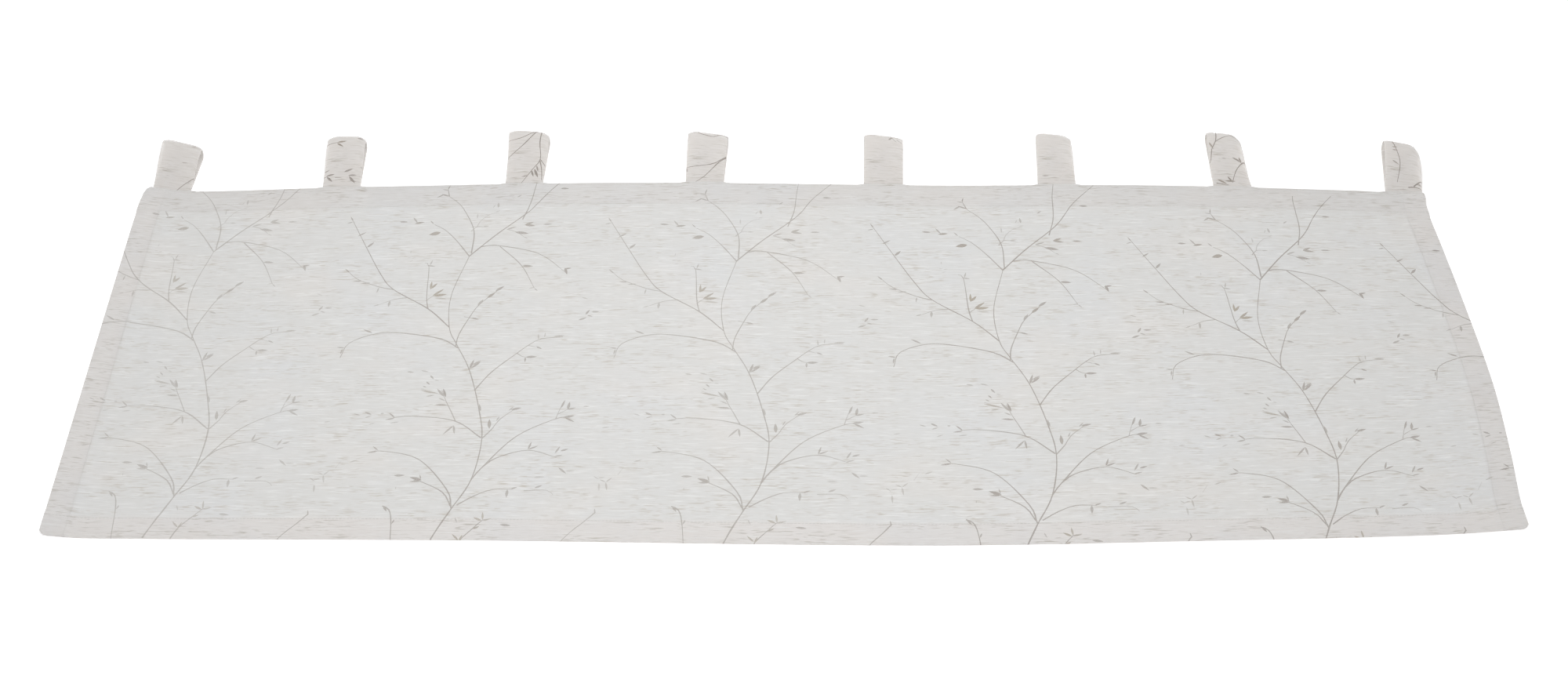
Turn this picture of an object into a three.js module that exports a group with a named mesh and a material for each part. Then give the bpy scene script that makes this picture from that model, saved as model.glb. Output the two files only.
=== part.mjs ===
// A short window curtain with tab loops, laid out flat on its back, in millimetres.
// +X runs along the width, +Y towards the loops and +Z up off the surface it lies on.
// The origin is on that surface, under the middle of the whole curtain.
import * as THREE from 'three';

// Finished size of the panel, before the pull of the cloth bows its edges
const PANEL_WIDTH = 1400;
const PANEL_HEIGHT = 500;

// Thickness of each layer, and the room that is left between two pieces
const CLOTH = 1.2;
const HEM_CLOTH = 2.4;
const FACING_CLOTH = 1.0;
const TAB_CLOTH = 1.1;
const PIECE_GAP = 0.3;

// Widths of the turned edges and of the strip behind the top edge
const SIDE_HEM = 26;
const BOTTOM_HEM = 27;
const HEADING = 35;
const FACING_INSET = 1;

// How far the cloth takes to come down from a thicker place, and its rounded edges
const STEP_DOWN = 6;
const EDGE_ROUND = 2.5;
const EDGE_DROP = 0.2;
const CORNER_ROUND = 2.2;
const CORNER_REACH = 5;

// The ends of each tab are caught this deep between the panel and the strip,
// where the seam presses both of them together
const TAB_CAUGHT = 12;
const TAB_ROOM = 1;
const SEAM_CLOTH = 1.2;
const SEAM_BOTTOM = FACING_CLOTH + PIECE_GAP;
const SEAM_TOP = SEAM_BOTTOM + SEAM_CLOTH;

// Past the panel's edge, a tab is back to its full thickness here, and its lower
// layer reaches the surface here
const TAB_SWELLS = 6;
const TAB_SETTLES = 11;

// Edges of the panel as they lie, each as a smooth curve through a few points
const TOP_EDGE = [
  { along: -700, out: 252.5 },
  { along: -655, out: 247 },
  { along: -480, out: 254.5 },
  { along: -160, out: 262.5 },
  { along: 170, out: 257.5 },
  { along: 390, out: 258 },
  { along: 600, out: 250 },
  { along: 700, out: 243 },
];
const BOTTOM_EDGE = [
  { along: -700, out: -251.5 },
  { along: -655, out: -255.5 },
  { along: -300, out: -258 },
  { along: 130, out: -264.5 },
  { along: 400, out: -258.5 },
  { along: 610, out: -251.5 },
  { along: 700, out: -244 },
];
const LEFT_EDGE = [
  { along: 0, out: -702 },
  { along: 420, out: -702 },
  { along: 475, out: -701 },
  { along: 500, out: -698 },
];
const RIGHT_EDGE = [
  { along: 0, out: 703.5 },
  { along: 35, out: 703 },
  { along: 100, out: 707.5 },
  { along: 200, out: 711 },
  { along: 330, out: 706 },
  { along: 410, out: 701.5 },
  { along: 475, out: 697.5 },
  { along: 500, out: 699.5 },
];

// Soft places where the cloth does not quite lie on the surface
const LIFTS = [
  { x: -520, y: 250, length: 120, width: 60, turn: 0.5, height: 1.0 },
  { x: -230, y: 130, length: 150, width: 55, turn: -0.3, height: 0.8 },
  { x: 90, y: 300, length: 130, width: 60, turn: 0.9, height: 0.9 },
  { x: 380, y: 180, length: 140, width: 50, turn: 0.2, height: 1.0 },
  { x: 610, y: 290, length: 110, width: 60, turn: 1.3, height: 1.4 },
];
const LIFT_START = 0.2;

// The tabs from left to right: edges where they leave the panel, how far each edge
// leans by the fold, how far each side reaches, how round the fold's corners are,
// how high the loop stands at each side, and how far its upper layer bows sideways
const TABS = [
  { left: -693, right: -651, leanLeft: -1, leanRight: 4, reachLeft: 80, reachRight: 67,
    roundLeft: 6, roundRight: 7, highLeft: 11, highRight: 13, bow: 0 },
  { left: -507, right: -466, leanLeft: -3, leanRight: -1, reachLeft: 81, reachRight: 78,
    roundLeft: 9, roundRight: 11, highLeft: 11, highRight: 12, bow: 0 },
  { left: -307, right: -266, leanLeft: -2, leanRight: 3, reachLeft: 86, reachRight: 79,
    roundLeft: 7, roundRight: 10, highLeft: 11, highRight: 12, bow: 1 },
  { left: -109, right: -67, leanLeft: 1, leanRight: 4, reachLeft: 81, reachRight: 74,
    roundLeft: 7, roundRight: 4, highLeft: 12, highRight: 11, bow: 0 },
  { left: 87, right: 130, leanLeft: 2, leanRight: 2, reachLeft: 80, reachRight: 73,
    roundLeft: 6, roundRight: 4, highLeft: 12, highRight: 11, bow: 0 },
  { left: 278, right: 320, leanLeft: 4, leanRight: -1, reachLeft: 83, reachRight: 75,
    roundLeft: 5, roundRight: 9, highLeft: 11, highRight: 12, bow: 0 },
  { left: 471, right: 513, leanLeft: 1, leanRight: -6, reachLeft: 86, reachRight: 79,
    roundLeft: 4, roundRight: 18, highLeft: 12, highRight: 14, bow: -1 },
  { left: 658, right: 699, leanLeft: 9, leanRight: 5, reachLeft: 78, reachRight: 72,
    roundLeft: 3, roundRight: 18, highLeft: 15, highRight: 13, bow: 1 },
];
const FOLD_DEPTH = 6;
const ROUND_SPAN = 0.3;

// Steps of the meshes
const TAB_ACROSS = [0, 0.07, 0.2, 0.4, 0.6, 0.8, 0.93, 1];
const LOWER_STEPS = 6;
const LOWER_STEP_GROWTH = 1.5;
const FOLD_STEPS = 6;
const UPPER_STEPS = 8;
const FIELD_COLUMN = 75;
const FIELD_ROWS = 7;
const NARROWEST_COLUMN = 0.01;

// Colours and finish
const CLOTH_COLOUR = 0xdddcd9;
const DOUBLE_CLOTH_COLOUR = 0xd8d4d0;
const CLOTH_ROUGHNESS = 0.9;

// A smooth curve through the rows of an edge's table, from their slopes
function edgeAt(edge, along) {
  const last = edge.length - 2;
  const found = edge.findIndex((row, i) => i <= last && along <= edge[i + 1].along);
  const i = found < 0 ? last : found;
  const slope = (a, b) => (edge[b].out - edge[a].out) / (edge[b].along - edge[a].along);
  const step = edge[i + 1].along - edge[i].along;
  const t = (along - edge[i].along) / step;
  const start = i > 0 ? slope(i - 1, i + 1) : slope(i, i + 1);
  const end = i < last ? slope(i, i + 2) : slope(i, i + 1);
  const rise = edge[i + 1].out - edge[i].out;
  const curve = start * step * t * (1 - t) * (1 - t) - end * step * t * t * (1 - t);
  return edge[i].out + rise * t * t * (3 - 2 * t) + curve;
}

// 1 between low and high, falling evenly to 0 over the fall on each side
function plateau(value, low, high, fall) {
  const outside = Math.max(low - value, value - high, 0);
  return Math.max(0, 1 - outside / fall);
}

// Distance from the nearest of the panel's four edges, in the flat cloth's own sizes
function inFromEdge(x, y) {
  return Math.min(PANEL_WIDTH / 2 - Math.abs(x), y, PANEL_HEIGHT - y);
}

// Where a point of the flat panel lies: x from the middle, y up from the bottom edge
function placeOnPanel(x, y) {
  const low = edgeAt(BOTTOM_EDGE, x);
  const high = edgeAt(TOP_EDGE, x);
  const left = edgeAt(LEFT_EDGE, y);
  const right = edgeAt(RIGHT_EDGE, y);
  const across = x / PANEL_WIDTH + 0.5;
  const fromSide = PANEL_WIDTH / 2 - Math.abs(x);
  const fromEnd = Math.min(y, PANEL_HEIGHT - y);
  const corner = Math.max(0, 1 - (fromSide + fromEnd) / CORNER_REACH) * CORNER_ROUND;
  const inwardX = -Math.sign(x) * corner;
  const inwardY = (y < PANEL_HEIGHT / 2 ? 1 : -1) * corner;
  return {
    x: left + (right - left) * across + inwardX,
    y: low + (high - low) * (y / PANEL_HEIGHT) + inwardY,
  };
}

// How far the cloth stands off the surface in its soft uneven places
function softLift(x, y) {
  let sum = 0;
  for (const lift of LIFTS) {
    const dx = x - lift.x;
    const dy = y - lift.y;
    const along = (dx * Math.cos(lift.turn) + dy * Math.sin(lift.turn)) / lift.length;
    const beside = (dy * Math.cos(lift.turn) - dx * Math.sin(lift.turn)) / lift.width;
    sum += lift.height * Math.exp(-along * along - beside * beside);
  }
  return Math.max(0, sum - LIFT_START);
}

// The panel's underside lies on the strip, on the caught ends of the tabs, or down
function panelUnderside(x, y) {
  const overStrip = plateau(y, PANEL_HEIGHT - HEADING, PANEL_HEIGHT, STEP_DOWN);
  const overEnds = plateau(y, PANEL_HEIGHT - TAB_CAUGHT - TAB_ROOM, PANEL_HEIGHT, STEP_DOWN);
  const besideTabs = TABS.map((tab) => plateau(x, tab.left - TAB_ROOM, tab.right + TAB_ROOM, STEP_DOWN));
  const overTab = Math.min(overEnds, Math.max(...besideTabs));
  return Math.max(softLift(x, y), overStrip * SEAM_BOTTOM + overTab * (SEAM_CLOTH + PIECE_GAP));
}

// Turned hems are thicker, and every outer edge is rounded off a little
function panelThickness(x, y) {
  const half = PANEL_WIDTH / 2;
  const overSides = 1 - plateau(x, SIDE_HEM - half + STEP_DOWN, half - SIDE_HEM - STEP_DOWN, STEP_DOWN);
  const overBottom = plateau(y, 0, BOTTOM_HEM, STEP_DOWN);
  const turned = Math.max(overSides, overBottom);
  const rounded = Math.max(0, 1 - inFromEdge(x, y) / EDGE_ROUND);
  return CLOTH + (HEM_CLOTH - CLOTH) * turned - EDGE_DROP * rounded;
}

// A closed sheet over a grid of columns and rows, from its place and its two heights
function sheetGeometry(columns, rows, place, underside, thickness) {
  const positions = [];
  const index = [];
  for (const y of rows) {
    for (const x of columns) {
      const at = place(x, y);
      const low = underside(x, y);
      positions.push(at.x, at.y, low + thickness(x, y), at.x, at.y, low);
    }
  }
  const top = (i, j) => 2 * (j * columns.length + i);
  const under = (i, j) => top(i, j) + 1;
  const quad = (a, b, c, d) => index.push(a, b, c, a, c, d);
  const lastI = columns.length - 1;
  const lastJ = rows.length - 1;
  for (let j = 0; j < lastJ; j += 1) {
    for (let i = 0; i < lastI; i += 1) {
      quad(top(i, j), top(i + 1, j), top(i + 1, j + 1), top(i, j + 1));
      quad(under(i, j), under(i, j + 1), under(i + 1, j + 1), under(i + 1, j));
    }
    quad(under(0, j), top(0, j), top(0, j + 1), under(0, j + 1));
    quad(top(lastI, j), under(lastI, j), under(lastI, j + 1), top(lastI, j + 1));
  }
  for (let i = 0; i < lastI; i += 1) {
    quad(under(i, 0), under(i + 1, 0), top(i + 1, 0), top(i, 0));
    quad(top(i, lastJ), top(i + 1, lastJ), under(i + 1, lastJ), under(i, lastJ));
  }
  return geometryFrom(positions, index);
}

function geometryFrom(positions, index) {
  const geometry = new THREE.BufferGeometry();
  geometry.setAttribute('position', new THREE.Float32BufferAttribute(positions, 3));
  geometry.setIndex(index);
  geometry.computeVertexNormals();
  return geometry;
}

// Columns of the panel: its hems, both sides of every tab, and the field between
function panelColumns() {
  const half = PANEL_WIDTH / 2;
  const sideLines = [0, EDGE_ROUND, SIDE_HEM, SIDE_HEM + STEP_DOWN];
  const lines = sideLines.flatMap((line) => [line - half, half - line]);
  for (const tab of TABS) {
    const left = tab.left - TAB_ROOM;
    const right = tab.right + TAB_ROOM;
    lines.push(left - STEP_DOWN, left, right, right + STEP_DOWN);
  }
  const inside = lines.filter((line) => Math.abs(line) <= half).sort((a, b) => a - b);
  const columns = [inside[0]];
  for (const line of inside.slice(1)) {
    const from = columns[columns.length - 1];
    const parts = Math.max(1, Math.round((line - from) / FIELD_COLUMN));
    for (let k = 1; k < parts; k += 1) {
      columns.push(from + ((line - from) * k) / parts);
    }
    columns.push(line);
  }
  return columns.filter((line, k) => k === 0 || line - columns[k - 1] > NARROWEST_COLUMN);
}

// Rows of the panel: the bottom hem, the field, and the heading over its strip
function panelRows() {
  const fieldStart = BOTTOM_HEM + STEP_DOWN;
  const fieldEnd = PANEL_HEIGHT - HEADING - STEP_DOWN;
  const caught = PANEL_HEIGHT - TAB_CAUGHT - TAB_ROOM;
  const rows = [0, EDGE_ROUND, BOTTOM_HEM];
  for (let k = 0; k <= FIELD_ROWS; k += 1) {
    rows.push(fieldStart + ((fieldEnd - fieldStart) * k) / FIELD_ROWS);
  }
  rows.push(PANEL_HEIGHT - HEADING, caught - STEP_DOWN, caught);
  rows.push(PANEL_HEIGHT - EDGE_ROUND, PANEL_HEIGHT);
  return rows;
}

function panelGeometry() {
  return sheetGeometry(panelColumns(), panelRows(), placeOnPanel, panelUnderside, panelThickness);
}

// The strip behind the top edge lies flat, just inside the panel's outline
function facingGeometry() {
  const shrink = 1 - (2 * FACING_INSET) / PANEL_WIDTH;
  const rows = [PANEL_HEIGHT - HEADING + FACING_INSET, PANEL_HEIGHT - FACING_INSET / 2];
  const place = (x, y) => placeOnPanel(x * shrink, y);
  return sheetGeometry(panelColumns(), rows, place, () => 0, () => FACING_CLOTH);
}

// From 0 to 1 with a level start and end
function ease(t) {
  return t * t * (3 - 2 * t);
}

// The middle line of a loop seen from its side: out along the surface, round and back
function loopLine(reach, high) {
  const low = TAB_CLOTH / 2;
  const start = SEAM_BOTTOM + SEAM_CLOTH / 4;
  const end = SEAM_TOP - SEAM_CLOTH / 4;
  const turn = reach - FOLD_DEPTH;
  const line = [];
  for (let k = 0; k < LOWER_STEPS; k += 1) {
    const out = turn * (k / LOWER_STEPS) ** LOWER_STEP_GROWTH;
    line.push({ out, up: low + (start - low) * (1 - ease(Math.min(1, out / TAB_SETTLES))) });
  }
  for (let k = 0; k <= FOLD_STEPS; k += 1) {
    const angle = (Math.PI * k) / FOLD_STEPS;
    const half = (high - low) / 2;
    line.push({ out: turn + FOLD_DEPTH * Math.sin(angle), up: low + half * (1 - Math.cos(angle)) });
  }
  for (let k = 1; k <= UPPER_STEPS; k += 1) {
    const back = k / UPPER_STEPS;
    line.push({ out: turn * (1 - back), up: high + (end - high) * ease(back) });
  }
  return line;
}

// Outer and inner points of a loop, half the cloth's thickness off its middle line
function loopSides(line) {
  const last = line.length - 1;
  const outer = [];
  const inner = [];
  line.forEach((point, k) => {
    const before = line[Math.max(0, k - 1)];
    const after = line[Math.min(last, k + 1)];
    const isEnd = k === 0 || k === last;
    const run = isEnd ? Math.sign(after.out - before.out) : after.out - before.out;
    const climb = isEnd ? 0 : after.up - before.up;
    const swell = Math.min(1, point.out / TAB_SWELLS);
    const half = (SEAM_CLOTH / 4 + (TAB_CLOTH / 2 - SEAM_CLOTH / 4) * swell) / Math.hypot(run, climb);
    outer.push({ out: point.out + climb * half, up: Math.max(0, point.up - run * half) });
    inner.push({ out: point.out - climb * half, up: point.up + run * half });
  });
  return { outer, inner };
}

// How much shorter a side's rounded corner makes the loop, at a place across it
function cornerDrop(tab, across) {
  const bite = (from) => 1 - Math.sqrt(1 - Math.max(0, 1 - from / ROUND_SPAN) ** 2);
  return tab.roundLeft * bite(across) + tab.roundRight * bite(1 - across);
}

// One cut through a tab: the closed outline of its loop and of its caught ends
function tabSection(tab, across) {
  const mix = (a, b) => a + (b - a) * across;
  const reach = mix(tab.reachLeft, tab.reachRight) - cornerDrop(tab, across);
  const sides = loopSides(loopLine(reach, mix(tab.highLeft, tab.highRight)));
  const baseX = mix(tab.left, tab.right);
  const lean = mix(tab.leanLeft, tab.leanRight);
  const base = placeOnPanel(baseX, PANEL_HEIGHT);
  const last = sides.outer.length - 1;
  const place = (point, k) => {
    const share = Math.max(0, point.out / reach);
    const bow = k > last / 2 ? tab.bow * Math.sin(Math.PI * Math.min(1, share)) : 0;
    return [base.x + lean * share + bow, base.y + point.out, point.up];
  };
  const caught = placeOnPanel(baseX, PANEL_HEIGHT - TAB_CAUGHT);
  return {
    outer: sides.outer.map(place),
    inner: sides.inner.slice(1, -1).map((point, k) => place(point, k + 1)),
    seam: [base.x, base.y, (SEAM_BOTTOM + SEAM_TOP) / 2],
    endTop: [caught.x, caught.y, SEAM_TOP],
    endUnder: [caught.x, caught.y, SEAM_BOTTOM],
  };
}

// A tab is its sections joined side by side, with a flat cut side at each end
function tabGeometry(tab) {
  const positions = [];
  const index = [];
  const sections = TAB_ACROSS.map((across) => {
    const section = tabSection(tab, across);
    const add = (point) => positions.push(...point) / 3 - 1;
    const seam = add(section.seam);
    return {
      outer: section.outer.map(add),
      inner: [seam, ...section.inner.map(add), seam],
      seam,
      endTop: add(section.endTop),
      endUnder: add(section.endUnder),
    };
  });
  const triangle = (a, b, c) => {
    if (a !== b && b !== c && c !== a) index.push(a, b, c);
  };
  const quad = (a, b, c, d) => {
    triangle(a, b, c);
    triangle(a, c, d);
  };
  const last = sections[0].outer.length - 1;
  for (let i = 0; i < sections.length - 1; i += 1) {
    const here = sections[i];
    const next = sections[i + 1];
    for (let k = 0; k < last; k += 1) {
      quad(here.outer[k], here.outer[k + 1], next.outer[k + 1], next.outer[k]);
      quad(here.inner[k], next.inner[k], next.inner[k + 1], here.inner[k + 1]);
    }
    quad(here.outer[last], here.endTop, next.endTop, next.outer[last]);
    quad(here.endTop, here.endUnder, next.endUnder, next.endTop);
    quad(here.endUnder, here.outer[0], next.outer[0], next.endUnder);
  }
  const cutSide = (section, facesLeft) => {
    const side = (a, b, c) => (facesLeft ? triangle(a, c, b) : triangle(a, b, c));
    for (let k = 0; k < last; k += 1) {
      side(section.outer[k], section.outer[k + 1], section.inner[k + 1]);
      side(section.outer[k], section.inner[k + 1], section.inner[k]);
    }
    side(section.seam, section.outer[last], section.endTop);
    side(section.seam, section.endTop, section.endUnder);
    side(section.seam, section.endUnder, section.outer[0]);
  };
  cutSide(sections[0], true);
  cutSide(sections[sections.length - 1], false);
  return geometryFrom(positions, index);
}

function clothMesh(name, geometry, colour) {
  const material = new THREE.MeshStandardMaterial({ color: colour, roughness: CLOTH_ROUGHNESS, metalness: 0 });
  const mesh = new THREE.Mesh(geometry, material);
  mesh.name = name;
  return mesh;
}

const curtain = new THREE.Group();
curtain.add(clothMesh('panel', panelGeometry(), CLOTH_COLOUR));
curtain.add(clothMesh('heading_facing', facingGeometry(), DOUBLE_CLOTH_COLOUR));
TABS.forEach((tab, k) => {
  curtain.add(clothMesh(`tab_${k + 1}`, tabGeometry(tab), DOUBLE_CLOTH_COLOUR));
});

// The origin goes under the middle of the whole curtain
const middle = new THREE.Box3().setFromObject(curtain).getCenter(new THREE.Vector3());
curtain.position.set(-middle.x, -middle.y, 0);
curtain.updateMatrixWorld(true);

export default curtain;
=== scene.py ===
"""The looks of a short window curtain with tab loops, laid out flat: a slubby
semi-sheer panel with a printed twig pattern, its turned hems, the strip behind its
heading, eight fabric loops and the stitches that hold them.

Lengths in the tables are in millimetres, as a sewing pattern gives them, and places on
the panel are measured from its middle line and up from its bottom edge.
"""

import math
from collections import namedtuple

import bpy
import numpy as np
from bpy.props import FloatProperty, FloatVectorProperty, IntProperty, PointerProperty
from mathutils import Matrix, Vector
from mathutils.geometry import delaunay_2d_cdt


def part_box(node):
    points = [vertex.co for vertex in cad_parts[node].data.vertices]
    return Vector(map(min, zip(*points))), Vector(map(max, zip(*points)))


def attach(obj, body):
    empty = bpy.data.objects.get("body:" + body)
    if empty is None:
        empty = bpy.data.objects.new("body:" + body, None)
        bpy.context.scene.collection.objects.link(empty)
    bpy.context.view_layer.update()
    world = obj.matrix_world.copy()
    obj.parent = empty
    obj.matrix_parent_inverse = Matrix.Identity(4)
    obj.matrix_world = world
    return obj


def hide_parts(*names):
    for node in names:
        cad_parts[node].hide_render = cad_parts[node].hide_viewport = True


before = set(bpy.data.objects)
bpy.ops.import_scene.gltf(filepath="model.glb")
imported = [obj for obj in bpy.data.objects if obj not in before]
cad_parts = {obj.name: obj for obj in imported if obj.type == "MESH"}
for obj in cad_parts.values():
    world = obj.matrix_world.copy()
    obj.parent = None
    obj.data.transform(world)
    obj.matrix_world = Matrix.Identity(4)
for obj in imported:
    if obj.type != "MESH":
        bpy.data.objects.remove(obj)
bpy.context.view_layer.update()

bl_info = {
    "name": "Tab Loop Curtain",
    "version": (1, 0, 0),
    "blender": (4, 5, 0),
    "location": "3D View > Sidebar > Curtain",
    "description": "Makes a printed semi-sheer curtain with tab loops, laid out flat",
    "category": "Add Mesh",
}

MM = 0.001
BODY = "root"

# Finished size of the panel before the pull of the cloth bows its edges, and the
# widths that are turned under
PANEL_WIDTH = 1400.0
PANEL_HEIGHT = 500.0
SIDE_HEM = 26.0
BOTTOM_HEM = 27.0
HEADING = 35.0
TOP_TURN = 10.0
FACING_INSET = 1.0
FACING_TURN = 8.0

# How far the cloth takes to come down from a thicker place, and the panel's corners
STEP_DOWN = 6.0
HEM_STEP = 3.0
CORNER_ROUND = 2.2
CORNER_REACH = 5.0

# Edges of the panel as they lie, each as a smooth curve through a few points
EdgePoint = namedtuple("EdgePoint", "along out")
TOP_EDGE = (
    EdgePoint(-700, 252.5), EdgePoint(-655, 247), EdgePoint(-480, 254.5),
    EdgePoint(-160, 262.5), EdgePoint(170, 257.5), EdgePoint(390, 258),
    EdgePoint(600, 250), EdgePoint(700, 243),
)
BOTTOM_EDGE = (
    EdgePoint(-700, -251.5), EdgePoint(-655, -255.5), EdgePoint(-300, -258),
    EdgePoint(130, -264.5), EdgePoint(400, -258.5), EdgePoint(610, -251.5),
    EdgePoint(700, -244),
)
LEFT_EDGE = (
    EdgePoint(0, -702), EdgePoint(420, -702), EdgePoint(475, -701), EdgePoint(500, -698),
)
RIGHT_EDGE = (
    EdgePoint(0, 703.5), EdgePoint(35, 703), EdgePoint(100, 707.5), EdgePoint(200, 711),
    EdgePoint(330, 706), EdgePoint(410, 701.5), EdgePoint(475, 697.5), EdgePoint(500, 699.5),
)

# Soft places where the cloth does not quite lie on the surface
Lift = namedtuple("Lift", "x y length width turn height")
LIFTS = (
    Lift(-520, 250, 120, 60, 0.5, 1.0),
    Lift(-230, 130, 150, 55, -0.3, 0.8),
    Lift(90, 300, 130, 60, 0.9, 0.9),
    Lift(380, 180, 140, 50, 0.2, 1.0),
    Lift(610, 290, 110, 60, 1.3, 1.4),
)
LIFT_START = 0.2

# The tab loops from left to right: edges where they leave the panel, how far each
# edge leans by the fold, how far each side reaches, how round the fold's corners are,
# how high the loop stands at each side, and how far its upper layer bows sideways
Tab = namedtuple(
    "Tab",
    "left right lean_left lean_right reach_left reach_right"
    " round_left round_right high_left high_right bow",
)
TABS = (
    Tab(-693, -651, -1, 4, 80, 67, 6, 7, 11, 13, 0),
    Tab(-507, -466, -3, -1, 81, 78, 9, 11, 11, 12, 0),
    Tab(-307, -266, -2, 3, 86, 79, 7, 10, 11, 12, 1),
    Tab(-109, -67, 1, 4, 81, 74, 7, 4, 12, 11, 0),
    Tab(87, 130, 2, 2, 80, 73, 6, 4, 12, 11, 0),
    Tab(278, 320, 4, -1, 83, 75, 5, 9, 11, 12, 0),
    Tab(471, 513, 1, -6, 86, 79, 4, 18, 12, 14, -1),
    Tab(658, 699, 9, 5, 78, 72, 3, 18, 15, 13, 1),
)
TAB_CAUGHT = 12.0
TAB_ROOM = 1.0
TAB_SETTLES = 11.0
TAB_SWELLS = 6.0
FOLD_DEPTH = 6.0
ROUND_SPAN = 0.3

# One repeat of the print, charted from the foot of its main stem: the places
# that each twig runs through, its width at the thick end and how dark it is
Twig = namedtuple("Twig", "width tone points")
TWIGS = (
    Twig(1.3, 0.95, ((-13, -28), (-2, 0), (9, 26), (24, 63), (29, 115), (22, 157), (7, 213),
                    (-9, 250), (-19, 276), (-21, 324), (-7, 384))),
    Twig(1.3, 1.0, ((-7, 384), (20, 417), (56, 456), (76, 489), (100, 522))),
    Twig(1.1, 0.9, ((47, 440), (55, 472), (56, 522))),
    Twig(1.2, 0.9, ((-5, 388), (-5, 424), (-16, 454), (-26, 470), (-38, 482))),
    Twig(1.1, 0.9, ((-38, 482), (-42, 494))),
    Twig(1.2, 0.9, ((-7, 384), (-23, 410), (-37, 428), (-49, 437))),
    Twig(0.9, 0.7, ((-8, 424), (-2, 431), (4, 431))),
    Twig(0.9, 0.5, ((-2, 431), (1, 440), (10, 450), (20, 453))),
    Twig(0.8, 0.5, ((14, 477), (24, 478), (34, 478))),
    Twig(1.2, 0.9, ((4, 398), (19, 400), (56, 390), (76, 378), (97, 355))),
    Twig(1.1, 0.9, ((25, 398), (50, 367), (66, 331))),
    Twig(0.9, 0.7, ((31, 425), (42, 420), (50, 412))),
    Twig(1.2, 1.0, ((-19, 276), (-44, 305), (-83, 336), (-99, 360), (-119, 403), (-139, 448))),
    Twig(1.1, 0.8, ((-83, 336), (-99, 341), (-123, 354), (-133, 365))),
    Twig(1.0, 0.7, ((-66, 323), (-80, 321), (-95, 314))),
    Twig(1.1, 0.9, ((-44, 305), (-47, 324), (-49, 370), (-54, 376))),
    Twig(0.9, 0.7, ((-47, 317), (-40, 324), (-30, 324))),
    Twig(1.1, 0.9, ((-10, 248), (-8, 265), (1, 290), (10, 309), (31, 333))),
    Twig(0.8, 0.7, ((-5, 291), (8, 287))),
    Twig(1.3, 0.9, ((-7, 245), (-26, 259), (-64, 269), (-93, 270), (-120, 257), (-127, 236))),
    Twig(1.2, 0.9, ((15, 184), (30, 209), (53, 234), (66, 247), (78, 255), (100, 257))),
    Twig(0.9, 0.8, ((54, 235), (60, 230), (66, 229))),
    Twig(0.8, 0.7, ((65, 246), (73, 243))),
    Twig(1.3, 0.9, ((28, 118), (-1, 142), (-43, 150), (-63, 149))),
    Twig(1.0, 0.8, ((0, 142), (-7, 158), (-12, 169), (-18, 185))),
    Twig(1.1, 0.8, ((29, 117), (38, 130), (44, 142), (60, 158))),
    Twig(1.3, 0.9, ((24, 63), (33, 79), (62, 118), (97, 140), (115, 145))),
    Twig(0.9, 0.7, ((100, 141), (102, 150), (106, 165))),
    Twig(0.9, 0.7, ((102, 148), (112, 155))),
    Twig(1.2, 0.9, ((33, 79), (46, 91), (76, 100), (105, 90))),
    Twig(1.3, 0.9, ((9, 27), (2, 51), (-31, 92), (-69, 104), (-78, 103))),
    Twig(1.2, 0.9, ((8, 30), (-2, 48), (-26, 63), (-32, 64))),
    Twig(1.2, 0.9, ((14, 31), (29, 42), (46, 50), (66, 50))),
    Twig(0.9, 0.7, ((77, 48), (99, 48), (106, 42))),
    Twig(0.8, 0.4, ((-39, 188), (-26, 182), (-17, 179))),
    Twig(1.2, 0.9, ((-58, 32), (-51, 27), (-47, 11), (-44, -30))),
    Twig(1.1, 0.8, ((-128, 24), (-137, 12), (-149, -2), (-166, -26))),
    Twig(0.7, 0.35, ((167, 66), (172, 76))),
    Twig(1.2, 0.9, ((14, -30), (21, -14), (32, 0), (41, 11), (47, 12))),
)

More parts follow.
